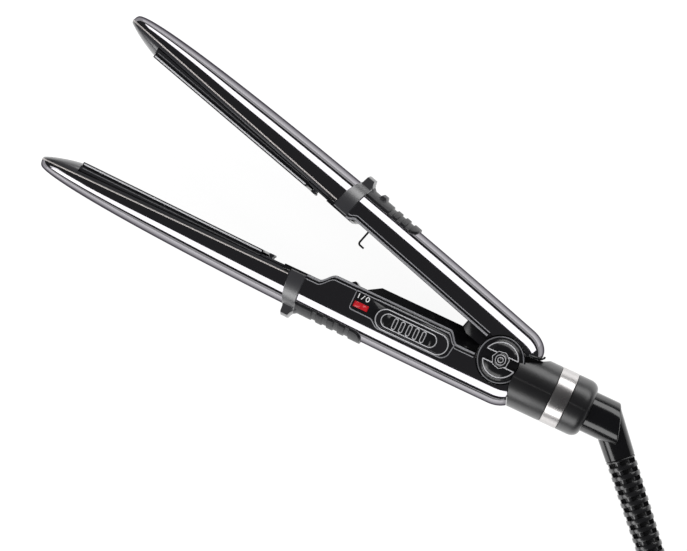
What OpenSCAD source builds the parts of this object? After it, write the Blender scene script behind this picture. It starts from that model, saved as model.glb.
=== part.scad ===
// Hair straightener lying open on its side, with its cord, at real size in millimetres.
// The hinge axis stands upright through the origin and the table is z = 0.
// The fixed arm points along -X, its inner face looks along +Y, and the cord leaves along +X.
// Arm pieces are drawn in an arm frame: x from the hinge to the tip, y inwards from the
// plane where the two plates meet, z across the plates. on_fixed and on_moving place them.

/* [Arms] */
// Distance from the hinge axis to the tip
arm_length = 249; // [235:1:265]
// Depth of one arm at the hinge, from the closed plane to its back
arm_depth = 22.1; // [21:0.1:24]
// Width of one arm across its plate
arm_width = 26.8; // [26.4:0.1:29]
// Depth of the arm's nose at the tip
nose_depth = 8.9; // [7.6:0.1:9.4]
// Wall of the outer shells
wall = 1.6; // [1.2:0.1:1.8]
// Depth of the barrel's lip below the closed plane
lip_depth = 5.8; // [5.6:0.1:6.4]
// Angle between the arms when they are open
open_angle = 16.3; // [13:0.1:16.5]
// Distance from the hinge axis to the rounded rear end
tail_length = 15; // [14:0.5:16]

/* [Plates] */
// Length of a heating plate
plate_length = 98.5; // [90:0.5:100]
// Width of a heating plate
plate_width = 24; // [23:0.5:24.5]
// Thickness of a heating plate
plate_thickness = 1.2; // [1:0.1:1.3]
// How far a plate floats into its arm
plate_travel = 0.8; // [0.5:0.1:0.8]
// Angle by which a plate leans out towards the tip
plate_tilt = 1; // [0.6:0.1:1]
// Length of the tip caps
tip_length = 21.15; // [19:0.05:22]

/* [Handles] */
// Distance from the hinge axis to the end of the handle's inner cover
handle_length = 110; // [108:0.5:112]
// Thickness of the handle covers
cover_thickness = 2; // [1.6:0.1:2.4]
// Inner face of the fixed handle beyond the closed plane
handle_rise = 3.5; // [3:0.1:3.6]
// Inner face of the moving handle below the closed plane
handle_drop = 4.1; // [3.9:0.1:4.6]
// Height of the guide rib on the fixed handle
rib_height = 3.9; // [3:0.1:4]
// Width of the guide rib
rib_width = 15; // [13:0.5:15.4]
// Thickness of the thumb grips over the arm's back
grip_thickness = 1.3; // [1:0.1:1.8]
// Height of the finger stop over the arm's back
finger_stop = 5.5; // [4:0.1:6]
// Height of the moving grip's small boss over the arm's back
boss_height = 3; // [2:0.1:3.6]
// Distance between the ribs of the moving thumb grip
grip_pitch = 5.4; // [5:0.05:5.6]

/* [Controls] */
// Height of the raised control panel over the handle's side
panel_height = 0.6; // [0.4:0.1:0.9]
// Length of the temperature slider's cap
slider_length = 29.8; // [28:0.2:31]
// Width of the temperature slider's cap
slider_width = 7.2; // [6:0.1:7.4]
// Travel of the temperature slider towards the hinge
slider_travel = 5; // [4:0.5:5]
// Length of the slider's slits across the cap
slit_length = 5.6; // [4:0.1:6]
// Radius of the power switch's rocking drum
rocker_radius = 5; // [4.6:0.1:5.2]
// Width of the power switch
rocker_width = 2.9; // [2.6:0.1:3.4]
// Angle between the switch's two positions
rocker_angle = 14; // [10:1:16]
// Travel of the lock slider
lock_travel = 2.5; // [2:0.1:2.6]

/* [Hinge] */
// Radius of the hinge pin
pin_radius = 2.5; // [2:0.1:3]
// Radius of the moving fork's round ends
fork_radius = 12.1; // [11.8:0.1:12.4]
// Half thickness of the fixed knuckle
knuckle_half = 7.9; // [7.8:0.1:8.1]
// Half thickness of the fork over its round ends
fork_half = 12.4; // [12.2:0.1:12.5]
// Radius of the hub caps
cap_radius = 9.3; // [8.8:0.1:9.6]
// Height of the hub caps
cap_height = 2.6; // [2.4:0.1:3]

/* [Collar and cord] */
// Radius of the collar
collar_radius = 14.8; // [14.6:0.1:15]
// Distance from the hinge axis to the collar's rear end
collar_end = 50.5; // [48:0.5:54]
// Width of the chrome ring
ring_width = 9; // [7:0.5:10]
// Radius of the swivel barrel
swivel_radius = 10.6; // [10:0.1:11]
// Length of the strain relief
relief_length = 54.5; // [48:0.5:56]
// Radius of the strain relief where it starts
relief_radius = 7.55; // [7.2:0.05:8]
// Diameter of the cord
cord_diameter = 7; // [6.6:0.1:7.2]

/* [Hidden] */
$fn = 64;

// Clearances: a gap between seated pieces, a running fit, and a gap between moving pieces
seat_gap = 0.1;
fit_gap = 0.05;
free_gap = 0.3;

// Rest height of the arms' middle plane over the table
mid_z = fork_half + free_gap + cap_height - 0.1;
// Outline constants of the arm
barrel_power = 1.9;
barrel_bend = 0.51;
tip_power = 24;
tail_start = 3;
tail_round = tail_length - tail_start;
tail_depth = 14;
rail_top = 12;
arc_steps = 20;
long_steps = 14;
tail_steps = 6;

// Depth of the arm's back below the closed plane at station x
function tail_share(x) = min(1, max(0, -x - tail_start) / tail_round);
function back_depth(x) = x < 0
    ? tail_depth + (arm_depth - tail_depth) * sqrt(1 - pow(tail_share(x), 2))
    : nose_depth + (arm_depth - nose_depth) * pow(1 - pow(x / arm_length, barrel_power), barrel_bend);
// Half width of the arm at station x
function half_width(x) = x < 0
    ? arm_width / 2 - 2.4 * (1 - sqrt(1 - pow(tail_share(x), 2)))
    : arm_width / 2 * pow(1 - pow(x / arm_length, tip_power), 1 / 3);
// Squareness of the cross-section: round at the tip, fuller at the handle
function fullness(x) = 2 + 2.1 * (1 - max(0, x) / arm_length);
// One cross-section of the arm, grown outwards, with upright walls above the lip
function ring(x, grow) = let (
    deep = back_depth(x) - lip_depth + grow,
    wide = half_width(x) + grow,
    e = 2 / fullness(x))
    concat([[x, rail_top, wide]],
        [for (i = [0:arc_steps]) let (t = 180 * i / arc_steps)
            [x, -lip_depth - deep * pow(sin(t), e), wide * sign(cos(t)) * pow(abs(cos(t)), e)]],
        [[x, rail_top, -wide]]);
// Stations along the arm, closer together at the tip and round the tail
function stations(x0, x1) = concat(
    [for (i = [0:tail_steps - 1]) let (x = -tail_start - tail_round * cos(90 * i / tail_steps)) if (x > x0)
        x],
    [for (i = [0:long_steps]) let (x = arm_length * (1 - pow(1 - i / long_steps, 2.2)) - 0.1 * i / long_steps)
        if (x > x0 && x < x1) x]);

// Skin over a list of rings with equal point counts
module skin(rings) {
    n = len(rings[0]);
    last = len(rings) - 1;
    points = [for (r = rings) for (p = r) p];
    sides = [for (i = [0:last - 1]) for (j = [0:n - 1]) let (a = i * n + j, b = i * n + (j + 1) % n)
        each [[a, a + n, b], [b, a + n, b + n]]];
    polyhedron(points, concat([[for (j = [0:n - 1]) j]], sides, [[for (j = [n - 1:-1:0]) last * n + j]]));
}

// Body of an arm from station x0 to x1, grown by grow on every side
module arm_body(x0, x1, grow) {
    skin([for (x = concat([x0], stations(x0 + 0.5, x1 - 0.5), [x1])) ring(x, grow)]);
}

// Straight slab of a flat outline, centred on the arms' middle plane
module slab(thickness) {
    linear_extrude(height = thickness, center = true) children();
}

// Upright cylinder centred on the middle plane
module barrel(r, h) {
    cylinder(r = r, h = h, center = true);
}

// Box given by its low and high corners
module box(low, high) {
    translate(low) cube(high - low);
}

// Placing of the two arms and of pieces at the hub
module on_fixed() {
    translate([0, 0, mid_z]) mirror([1, 0, 0]) children();
}
module on_fixed_turned() {
    translate([0, 0, mid_z]) rotate([0, 180, 0]) children();
}
module on_moving() {
    translate([0, 0, mid_z]) rotate([0, 0, 180 - open_angle]) children();
}
module on_hub() {
    translate([0, 0, mid_z]) children();
}

// Smooth step from one level to another, as a list of points
bend_steps = 8;
function ease(t) = (1 - cos(180 * t)) / 2;
function s_bend(x0, y0, x1, y1) = [for (i = [0:bend_steps]) let (t = i / bend_steps)
    [x0 + (x1 - x0) * t, y0 + (y1 - y0) * ease(t)]];
function raised(points, h) = [for (p = points) [p.x, p.y + h]];
function backwards(points) = [for (i = [len(points) - 1:-1:0]) points[i]];

// Inner faces of the two handles, from the hub to the barrel
hub_edge = -2;
hub_step = [22.6, 28.6];
front_step = [handle_length - 20, handle_length - 12.5];
fixed_front_edge = -1.9;
cover_reach = handle_length + 6;
fixed_edge = concat([[0, hub_edge]], s_bend(hub_step[0], hub_edge, hub_step[1], handle_rise),
    s_bend(front_step[0], handle_rise, front_step[1], fixed_front_edge), [[cover_reach, fixed_front_edge]]);
moving_step = [handle_length - 11, handle_length - 7];
moving_front_edge = -2;
moving_edge = concat([[0, -handle_drop]], s_bend(moving_step[0], -handle_drop, moving_step[1],
    moving_front_edge),
    [[cover_reach, moving_front_edge]]);

// Hub clearances
well_radius = fork_radius + free_gap;
fork_inner = knuckle_half + free_gap;

/* The shells: barrel and handle back in one sweep, open inwards */
far = 60;
mouth_drop = -cover_thickness - seat_gap;
module shell_mouth(edge, rear) {
    slab(far) polygon(concat([[-far, far]], rear, raised([for (p = edge) if (p.x < handle_length) p],
        mouth_drop),
        [[handle_length, edge[len(edge) - 1].y + mouth_drop], [handle_length, -lip_depth],
        [arm_length + 10, -lip_depth], [arm_length + 10, far]]));
}
nose_solid = 8;
module shell(edge, rear) {
    difference() {
        arm_body(-tail_length, arm_length - 0.1, 0);
        arm_body(-tail_length + wall, arm_length - nose_solid, -wall);
        shell_mouth(edge, rear);
        barrel(well_radius, far);
    }
}

// Line of the collar's slanted front below the hub, in the row frame
swivel_y = -4.6;
front_x = 8.8;
front_low = [front_x, -9.3];
front_end = [12.9, -21.4];
front_high = [front_x, 2.3];
slope_end = [23, 10.2];
function slope_y(x) = front_high.y + (x - front_high.x) * (slope_end.y - front_high.y) / (slope_end.x -
    front_high.x);

module fixed_shell() {
    color("#2c2b2f") on_fixed() difference() {
        shell(fixed_edge, [[-far, -far], [-front_end.x + free_gap, -far], [-front_end.x + free_gap,
            front_end.y],
            [-front_low.x + free_gap, front_low.y], [-front_low.x + free_gap, hub_edge]]);
        panel_openings(panel_wall);
    }
}

// The moving shell's tail is cut to clear the collar, along a sloping cap
tail_slope = 0.465;
tail_cap_thickness = 1.5;
tail_cap_start = -5;
fin_half = 10.8;
function tail_y(x) = -8.26 + (x - tail_cap_start) * tail_slope;
tail_cut = -tail_cap_thickness - seat_gap;
tail_line = [[-far, tail_y(-far) + tail_cut], [tail_cap_start, tail_y(tail_cap_start) + tail_cut],
    [tail_cap_start, -handle_drop - cover_thickness]];
module moving_shell() {
    color("#2c2b2f") on_moving() shell(moving_edge, tail_line);
}

/* Tip caps: a flat flange round the nose with a low dome on it */
tip_start = arm_length - tip_length;
tip_steps = 9;
tip_arc = 12;
tip_overhang = 0.9;
tip_end = arm_length + tip_overhang;
tip_inset = 0.45;
tip_base = -lip_depth + seat_gap;
tip_flange = tip_base + 1.35;
function tip_top(x) = let (d = x - tip_start) 0.72 - 0.109 * d - 0.00685 * d * d;
function tip_half(x) = half_width(min(x - tip_overhang, arm_length - 0.3));
function tip_station(i) = tip_end - (tip_end - tip_start) * pow(1 - i / tip_steps, 1.6);
function tip_ring(x) = [for (i = [0:tip_arc]) let (t = 180 * i / tip_arc)
    [x, tip_base + (tip_top(x) - tip_base) * pow(sin(t), 0.7),
        -(tip_half(x) - tip_inset) * sign(cos(t)) * pow(abs(cos(t)), 0.5)]];
module tip_cap() {
    skin([for (i = [0:tip_steps]) tip_ring(tip_station(i))]);
    intersection() {
        slab(far) polygon(concat([[tip_start, tip_base]], [for (i = [0:tip_steps]) let (x = tip_station(i))
            [x, min(tip_flange, tip_top(x))]], [[tip_end, tip_base]]));
        rotate([90, 0, 0]) linear_extrude(height = far, center = true) polygon(concat(
            [for (i = [0:tip_steps]) [tip_station(i), tip_half(tip_station(i))]],
            [for (i = [tip_steps:-1:0]) [tip_station(i), -tip_half(tip_station(i))]]));
    }
    // Tongue that locates the cap in the barrel's mouth
    box([tip_start + 1, -lip_depth - 2, -5], [tip_start + 7, -lip_depth + 0.6, 5]);
}
module fixed_tip_cap() {
    color("#3a3a3d") on_fixed() tip_cap();
}
module moving_tip_cap() {
    color("#3a3a3d") on_moving() tip_cap();
}

/* Plate carriers: stepped black rails with a channel for heater and springs */
plate_front = tip_start - 0.8;
plate_rear = plate_front - plate_length;
plate_sink = 0.45;
skirt_depth = 2.7;
rail_level = plate_sink + skirt_depth - 0.55;
flange_level = plate_sink + skirt_depth + plate_travel + seat_gap;
flange_thickness = 0.9;
groove_level = flange_level - 0.6;
channel_floor = 6.3;
channel_half = 7.2;
carrier_rear = handle_length + 0.3;
rail_rear = cover_reach + free_gap;
carrier_front = tip_start - 0.05;
rail_front_level = rail_level - (carrier_front - plate_rear) * tan(plate_tilt);
rail_half = plate_width / 2 - 0.9;
flange_half = plate_width / 2 + 0.2;
// A plate lies in its own frame: x from its rear end, y out of the plate, leaning towards the tip
module on_plate() {
    translate([plate_rear, -plate_sink, 0]) rotate([0, 0, plate_tilt]) children();
}
// Small hook that holds the plate's rear end down
tab_rear = plate_rear - 4.7;
tab_top = -0.4;
module retaining_tab() {
    slab(8) translate([tab_rear, 0]) polygon([[0.5, -rail_level - 0.5], [2.1, -rail_level - 0.5], [2.1,
        tab_top - 1.2],
        [2.6, tab_top - 1], [2.6, tab_top - 0.4], [2.2, tab_top], [0.4, tab_top], [0, tab_top - 0.4],
        [0, tab_top - 1], [0.5, tab_top - 1.2]]);
}
module plate_carrier() {
    difference() {
        union() {
            slab(2 * rail_half) polygon([[rail_rear, -groove_level], [carrier_front, -groove_level],
                [carrier_front, -rail_front_level], [plate_rear, -rail_level], [rail_rear, -rail_level]]);
            box([rail_rear, -flange_level, -rail_half + 0.7], [carrier_front, -groove_level,
                rail_half - 0.7]);
            box([rail_rear, -flange_level - flange_thickness, -flange_half], [carrier_front, -flange_level,
                flange_half]);
            box([carrier_rear, -lip_depth + seat_gap, -flange_half - 0.4],
                [carrier_front, -flange_level - flange_thickness, flange_half + 0.4]);
            box([carrier_rear, -channel_floor - 1.2, -channel_half - 1.2],
                [carrier_front, -lip_depth + seat_gap, channel_half + 1.2]);
            retaining_tab();
        }
        box([plate_rear - 0.6, -channel_floor, -channel_half], [plate_front, 1, channel_half]);
        // Way for the heater leads
        for (s = [-1, 1]) translate([carrier_rear - 1, -lead_level, s * lead_spread])
            rotate([0, 90, 0]) cylinder(r = lead_radius + seat_gap, h = plate_rear - carrier_rear + 2);
    }
}
module fixed_plate_carrier() {
    color("#1d1d1f") on_fixed() plate_carrier();
}
module moving_plate_carrier() {
    color("#1d1d1f") on_moving() plate_carrier();
}

/* Heating plates with a skirt round the carrier's rails */
module plate() {
    on_plate() difference() {
        box([0, -skirt_depth, -plate_width / 2], [plate_length, 0, plate_width / 2]);
        box([-1, -skirt_depth - 1, -rail_half - free_gap],
            [plate_length + 1, -plate_thickness, rail_half + free_gap]);
    }
}
module fixed_plate() {
    color("#8b8d94") on_fixed() plate();
}
module moving_plate() {
    color("#8b8d94") on_moving() plate();
}

/* Ceramic heaters, thermal fuses and leaf springs in the channel */
heater_thickness = 1.8;
heater_back = plate_thickness + heater_thickness;
heater_half = channel_half - 0.7;
module heater() {
    on_plate() box([4, -heater_back, -heater_half], [plate_length - 4, -plate_thickness, heater_half]);
}
module fixed_heater() {
    color("#e8e2d4") on_fixed() heater();
}
module moving_heater() {
    color("#e8e2d4") on_moving() heater();
}
fuse_length = 12;
fuse_radius = 0.9;
module thermal_fuse() {
    on_plate() translate([(plate_length - fuse_length) / 2, -heater_back - fuse_radius, 0])
        rotate([0, 90, 0]) cylinder(r = fuse_radius, h = fuse_length);
}
module fixed_thermal_fuse() {
    color("#b9b9bd") on_fixed() thermal_fuse();
}
module moving_thermal_fuse() {
    color("#b9b9bd") on_moving() thermal_fuse();
}
// A leaf spring is an arch of sheet: its feet stand on the channel, its crown under the heater
spring_span = 22;
spring_sheet = 0.3;
spring_width = 8;
spring_places = [0.2 * plate_length, 0.8 * plate_length];
function spring_crown(x) = plate_sink - x * tan(plate_tilt) + heater_back + 0.05;
function spring_rise(x) = channel_floor - spring_crown(x);
function spring_bow(x) = (pow(spring_span / 2, 2) + pow(spring_rise(x), 2)) / (2 * spring_rise(x));
module plate_springs() {
    for (x = spring_places) translate([plate_rear + x, -spring_crown(x) - spring_bow(x), 0])
        intersection() {
            difference() {
                cylinder(r = spring_bow(x), h = spring_width, center = true, $fn = 128);
                cylinder(r = spring_bow(x) - spring_sheet, h = spring_width + 1, center = true, $fn = 128);
            }
            box([-spring_span / 2, spring_bow(x) - spring_rise(x), -spring_width],
                [spring_span / 2, spring_bow(x) + 1, spring_width]);
        }
}
module fixed_plate_springs() {
    color("#c9c9cc") on_fixed() plate_springs();
}
module moving_plate_springs() {
    color("#c9c9cc") on_moving() plate_springs();
}
// Leads from the heater back through the carrier into the handle
lead_radius = 0.75;
lead_level = 5.45;
lead_spread = 3.4;
lead_rear = handle_length - 4;
module heater_leads() {
    for (s = [-1, 1]) translate([lead_rear, -lead_level, s * lead_spread])
        rotate([0, 90, 0]) cylinder(r = lead_radius, h = plate_rear - lead_rear + 7.5);
}
module fixed_heater_leads() {
    color("#e6e6e0") on_fixed() heater_leads();
}
module moving_heater_leads() {
    color("#e6e6e0") on_moving() heater_leads();
}

/* Thumb grips: a band over the arm's sides, a finger stop and a ribbed pad on its back */
band = [handle_length - 6.2, handle_length + 1.9];
band_top = -3;
band_line = [[-12, 0], [-16.4, 0.7], [-20.4, 1.9], [-arm_depth - 2, 3]];
pad_half = 11.2;
pad_round = 4;
stop_half = 6;
stop_span = [handle_length - 5.2, handle_length - 0.4];
notch_half = 1.25;
moving_ends = [handle_length - 37.9, band[0] + 1];
fixed_ends = [handle_length - 42.7, band[0] + 1];
moving_notch = handle_length - 32.4;
moving_notches = [for (i = [0:2]) moving_notch + grip_pitch * i];
fixed_notches = [for (i = [0:3]) handle_length - 34.8 + 6 * i];
boss_span = [handle_length - 14.65, handle_length - 12.4];
module band_outline() {
    // The front edge leans back below the arm's middle
    polygon(concat([[band[0], band_top], [band[1], band_top]], [for (p = band_line) [band[1] - p[1], p[0]]],
        [[band[0], -arm_depth - 2]]));
}
// Slanted cut along the band's rear edge, widest at the arm's lip
chamfer_lines = [[0, 3.4], [-7, 3.4], [-20.5, -0.3]];
module band_chamfer() {
    side = arm_width / 2;
    over = side + grip_thickness;
    skin([for (c = chamfer_lines) [[band[0] - 1.5, c[0], side], [band[0], c[0], side],
        [band[0] + c[1] + 0.5, c[0], over + 0.2], [band[0] - 1.5, c[0], over + 0.2]]]);
}
module pad_plan(ends) {
    flat = pad_half - pad_round;
    rotate([90, 0, 0]) linear_extrude(height = far, center = false) {
        translate([ends[0] + pad_round, -pad_half]) square([ends[1] - ends[0] - pad_round, 2 * pad_half]);
        translate([ends[0], -flat]) square([pad_round + 1, 2 * flat]);
        for (s = [-1, 1]) translate([ends[0] + pad_round, s * flat]) circle(r = pad_round, $fn = 48);
    }
}
module thumb_grip(ends, notches, notch_depth) {
    back = -back_depth(stop_span[0]);
    difference() {
        union() {
            intersection() {
                arm_body(band[0] - 4, band[1] + 1, grip_thickness);
                slab(far) band_outline();
            }
            intersection() {
                arm_body(ends[0] - 4, band[0] + 2, grip_thickness);
                pad_plan(ends);
            }
            // Finger stop with a hollow rear
            slab(2 * stop_half) polygon([[stop_span[0] - 2.8, back], [stop_span[0] - 2.7, back - 1.2],
                [stop_span[0] - 1, back - 2.5], [stop_span[0], back - 4], [stop_span[0] + 0.5,
                    back - finger_stop],
                [stop_span[1] - 0.5, back - finger_stop], [stop_span[1], back - finger_stop + 0.7],
                    [stop_span[1], back]]);
            children();
        }
        intersection() {
            union() for (x = notches) box([x - notch_half, -far, -far], [x + notch_half, 0, far]);
            difference() {
                arm_body(ends[0] - 4, band[0] + 2, grip_thickness + 1);
                arm_body(ends[0] - 5, band[0] + 3, grip_thickness - notch_depth);
            }
        }
        arm_body(ends[0] - 6, band[1] + 4, seat_gap);
        for (s = [-1, 1]) scale([1, 1, s]) band_chamfer();
    }
}
module fixed_grip() {
    color("#515158") on_fixed_turned() thumb_grip(fixed_ends, fixed_notches, 0.7);
}
module moving_grip() {
    color("#515158") on_moving() thumb_grip(moving_ends, moving_notches, 0.85) intersection() {
        arm_body(boss_span[0] - 2, boss_span[1] + 2, boss_height);
        slab(2 * stop_half) polygon([[boss_span[0] - 1.2, 0], [boss_span[0] - 1,
            -back_depth(boss_span[0]) - grip_thickness],
            [boss_span[0], -back_depth(boss_span[0]) - boss_height - 1],
            [boss_span[1], -back_depth(boss_span[0]) - boss_height - 1],
            [boss_span[1] + 1.2, -back_depth(boss_span[1]) - grip_thickness], [boss_span[1] + 1.3, 0]]);
    }
}

/* Handle covers: the inner faces, with a stepped edge all along */
edge_step = 0.7;
cover_half = arm_width / 2 - 0.1;
module strip(edge, top, thickness) {
    polygon(concat(raised(edge, top), backwards(raised(edge, top - thickness))));
}
module cover_skin(edge) {
    slab(2 * (cover_half - edge_step)) strip(edge, 0, cover_thickness);
    slab(2 * cover_half) strip(edge, -edge_step, cover_thickness - edge_step);
}
screw_head = 1.6;
screw_shank = 0.9;
screw_length = 5;
fixed_screws = [[36, handle_rise], [handle_length - 23, handle_rise]];
moving_screws = [[42, -handle_drop], [handle_length - 22, -handle_drop]];
screw_side = 9.6;
module screws(places) {
    for (p = places, s = [-1, 1]) translate([p.x, p.y, s * screw_side]) rotate([90, 0, 0]) {
        cylinder(r = screw_head, h = 1, $fn = 24);
        cylinder(r = screw_shank, h = screw_length, $fn = 24);
    }
}
module screw_holes(places) {
    for (p = places, s = [-1, 1]) translate([p.x, p.y + 1, s * screw_side]) rotate([90, 0, 0]) {
        cylinder(r = screw_head + seat_gap, h = 2, $fn = 24);
        cylinder(r = screw_shank + seat_gap, h = screw_length + 2, $fn = 24);
    }
}
// Guide rib between the arms, and the slots for the lock
rib_rear = 8;
rib_front = [68, 75];
rib_base = handle_rise - cover_thickness + 0.3;
rib_outline = concat([[rib_rear, hub_edge - 1.5], [rib_rear, handle_rise + rib_height],
    [rib_front[0], handle_rise + rib_height], [rib_front[1], handle_rise - 0.4], [rib_front[1], rib_base]],
    backwards(raised(s_bend(hub_step[0], hub_edge, hub_step[1], handle_rise), rib_base - handle_rise)));
nub_place = [handle_length - 30.6, handle_length - 26.6];
nub_half = 5;
stem_half = 1.2;
hook_x = handle_length - 18.2;
hook_wire = 0.5;
hook_foot = 3.6;
hook_reach = 3.5;
board_z = 5.2;
board_thickness = 1.4;
clip_places = [34, 68];
clip_length = 6;
module fixed_handle_cover() {
    color("#222225") on_fixed() difference() {
        union() {
            cover_skin(fixed_edge);
            slab(rib_width) polygon(rib_outline);
            // Clips that hold the edge of the circuit board
            for (x = clip_places, z = [board_z - 1, board_z + board_thickness + seat_gap])
                box([x, -1.4, z], [x + clip_length, handle_rise - cover_thickness + 0.2, z + 0.9]);
            // Guides beside the lock slider
            for (s = [-1, 1]) translate([nub_place[0] - 4, -1, s * 4.5 - 0.4])
                cube([13, handle_rise - cover_thickness + 1.2, 0.8]);
        }
        barrel(well_radius, far);
        // Slot for the nub's stem
        box([nub_place[0] + 0.8 - seat_gap, -5, -stem_half - seat_gap],
            [nub_place[1] - 0.8 + lock_travel + seat_gap, 10, stem_half + seat_gap]);
        // Slot for the wire hook
        box([hook_x - hook_foot - 1, -5, -hook_wire - 0.7], [hook_x + hook_wire + 0.5, 10, hook_wire + 0.7]);
        screw_holes(fixed_screws);
    }
}
module fixed_cover_screws() {
    color("#8d8d92") on_fixed() screws(fixed_screws);
}

// The moving cover is open where the rib and the fork's tongue come through
tongue_front = 25;
nub_dent = 0.9;
module moving_handle_cover() {
    color("#222225") on_moving() difference() {
        cover_skin(moving_edge);
        barrel(well_radius, far);
        box([0, -20, -rib_width / 2 - free_gap], [rib_front[1] + 2, 20, rib_width / 2 + free_gap]);
        box([0, -20, -tongue_half - 0.2], [tongue_front + 0.4, 20, tongue_half + 0.2]);
        box([nub_place[0] - 0.7, -handle_drop - nub_dent, -nub_half - 0.6],
            [nub_place[1] + lock_travel + 0.7, 10, nub_half + 0.6]);
        translate([hook_x, 5, 0]) rotate([90, 0, 0]) cylinder(r = hook_wire + fit_gap, h = 20, $fn = 24);
        screw_holes(moving_screws);
    }
}
module moving_cover_screws() {
    color("#8d8d92") on_moving() screws(moving_screws);
}
// Cap over the cut tail of the moving arm, ending in a small fin
fin_x = -tail_length - 0.4;
module moving_tail_cap() {
    t = tail_cap_thickness;
    color("#222225") on_moving() difference() {
        union() {
            intersection() {
                arm_body(-tail_length + 0.1, 0, 0);
                slab(far) polygon([[tail_cap_start, tail_y(tail_cap_start)], [tail_cap_start,
                    tail_y(tail_cap_start) - t],
                    [fin_x, tail_y(fin_x) - t], [fin_x, tail_y(fin_x)]]);
            }
            slab(2 * fin_half) polygon([[fin_x + 2, tail_y(fin_x + 2)], [fin_x + 0.2, tail_y(fin_x + 0.2)],
                [fin_x - 0.8, tail_y(fin_x) - 1.7], [fin_x - 0.6, tail_y(fin_x) - 2.7], [fin_x + 0.1,
                    tail_y(fin_x) - 2.6],
                [fin_x + 0.2, tail_y(fin_x + 0.2) - t], [fin_x + 2, tail_y(fin_x + 2) - t]]);
        }
        barrel(well_radius, far);
    }
}

/* Lock: a sliding nub on the fixed handle and a bent wire hook on the moving one */
lock_top = handle_rise - cover_thickness - seat_gap;
lock_catch = -0.5;
module lock_slider() {
    tongue = hook_x - hook_foot - 1.1;
    color("#1a1a1c") on_fixed() {
        slab(2 * 4) polygon([[nub_place[0] - 3, lock_top], [nub_place[0] - 3, lock_top - 1.4],
            [tongue - 3, lock_top - 1.4], [tongue - 3, lock_catch - 1.1], [tongue, lock_catch - 1.1],
            [tongue, lock_catch], [tongue - 1.4, lock_catch], [tongue - 1.4, lock_top]]);
        box([nub_place[0] + 0.8, lock_top - 1, -stem_half], [nub_place[1] - 0.8, handle_rise + 0.3,
            stem_half]);
        slab(2 * nub_half) polygon([[nub_place[0], handle_rise + seat_gap], [nub_place[1],
            handle_rise + seat_gap],
            [(nub_place[0] + nub_place[1]) / 2 + 0.3, handle_rise + 1.3],
            [(nub_place[0] + nub_place[1]) / 2 - 0.3, handle_rise + 1.3]]);
    }
}
hook_bend = 1.2;
hook_root = 4;
module lock_hook() {
    color("#18181a") on_moving() translate([hook_x, 0, 0]) {
        translate([0, -handle_drop - hook_root, 0]) rotate([-90, 0, 0])
            cylinder(r = hook_wire, h = handle_drop + hook_root + hook_reach - hook_bend, $fn = 24);
        translate([-hook_bend, hook_reach - hook_bend, 0]) rotate_extrude(angle = 90, $fn = 48)
            translate([hook_bend, 0]) circle(r = hook_wire, $fn = 24);
        translate([-hook_bend, hook_reach, 0]) rotate([0, -90, 0])
            cylinder(r = hook_wire, h = hook_foot - hook_bend, $fn = 24);
        // Head that holds the wire under the cover
        translate([0, -handle_drop - hook_root, 0]) rotate([-90, 0, 0])
            cylinder(r = 2, h = hook_root - cover_thickness - seat_gap, $fn = 24);
    }
}

/* Control panel: a raised plateau on the fixed handle's side with tub and window */
panel_z = arm_width / 2;
panel_top = panel_z + panel_height;
panel_wall = 0.4;
panel_edge = handle_rise - cover_thickness - 0.2;
tub_center = [45.3, -6.1];
tub_length = slider_length + slider_travel + 3.5;
tub_width = slider_width + 3;
tub_depth = 2.1;
tub_floor = panel_top - tub_depth;
rocker_center = [73.3, -5.2];
rocker_pivot = panel_z - 2.8;
window_half = sqrt(pow(rocker_radius + 0.2, 2) - pow(panel_top - rocker_pivot, 2));
window_wall = 1;
module stadium(center, length, width) {
    hull_less = (length - width) / 2;
    translate(center) {
        square([2 * hull_less, width], center = true);
        for (s = [-1, 1]) translate([s * hull_less, 0]) circle(d = width, $fn = 48);
    }
}
function arc(center, r, a0, a1) = [for (i = [0:6]) let (a = a0 + (a1 - a0) * i / 6)
    [center.x + r * cos(a), center.y + r * sin(a)]];
// Plateau: deep beside the tub, shallower beside the switch
panel_front = 78.4;
panel_low = tub_center.y - tub_width / 2 - panel_wall - 0.3;
panel_round = 4.7;
module panel_outline() {
    polygon(concat([[panel_front, panel_edge], [panel_front, -7.9], [panel_front - 1, -8.7]],
        s_bend(67, -8.9, 61.5, panel_low), arc([28.7, panel_low + panel_round], panel_round, 270, 180),
        s_bend(23.4, -3.2, 28.6, panel_edge)));
}
module panel_openings(grow) {
    slab_z = panel_z - 4;
    translate([0, 0, slab_z]) {
        linear_extrude(height = 8) stadium(tub_center, tub_length + 2 * grow + 0.4,
            tub_width + 2 * grow + 0.4);
        linear_extrude(height = 8) translate(rocker_center)
            square([2 * (window_half + window_wall + 0.2), rocker_width + 2 * grow + 0.8], center = true);
    }
}
module control_panel() {
    color("#1b1b1e") on_fixed() difference() {
        union() {
            translate([0, 0, panel_z + 0.02]) linear_extrude(height = panel_height - 0.02) panel_outline();
            translate([0, 0, tub_floor - 1]) linear_extrude(height = tub_depth + 1)
                stadium(tub_center, tub_length + 2 * panel_wall, tub_width + 2 * panel_wall);
            translate([0, 0, panel_z - 0.8]) linear_extrude(height = 0.8 + panel_height)
                translate(rocker_center)
                square([2 * (window_half + window_wall), rocker_width + 2 * panel_wall + 0.4], center = true);
        }
        translate([0, 0, tub_floor]) linear_extrude(height = 5) stadium(tub_center, tub_length, tub_width);
        translate([0, 0, panel_z - 5]) linear_extrude(height = 9) translate(rocker_center)
            square([2 * window_half, rocker_width + 0.4], center = true);
        rocker_drum(rocker_radius + 0.2, rocker_width + 0.4);
        // Slot for the slider's stem
        translate([0, 0, tub_floor - 2]) linear_extrude(height = 3)
            translate([slider_x - (slider_travel - slider_return) / 2, tub_center.y])
                square([slider_travel + slider_return + 2 * stem_length + 0.8, 2.4], center = true);
    }
}

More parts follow.
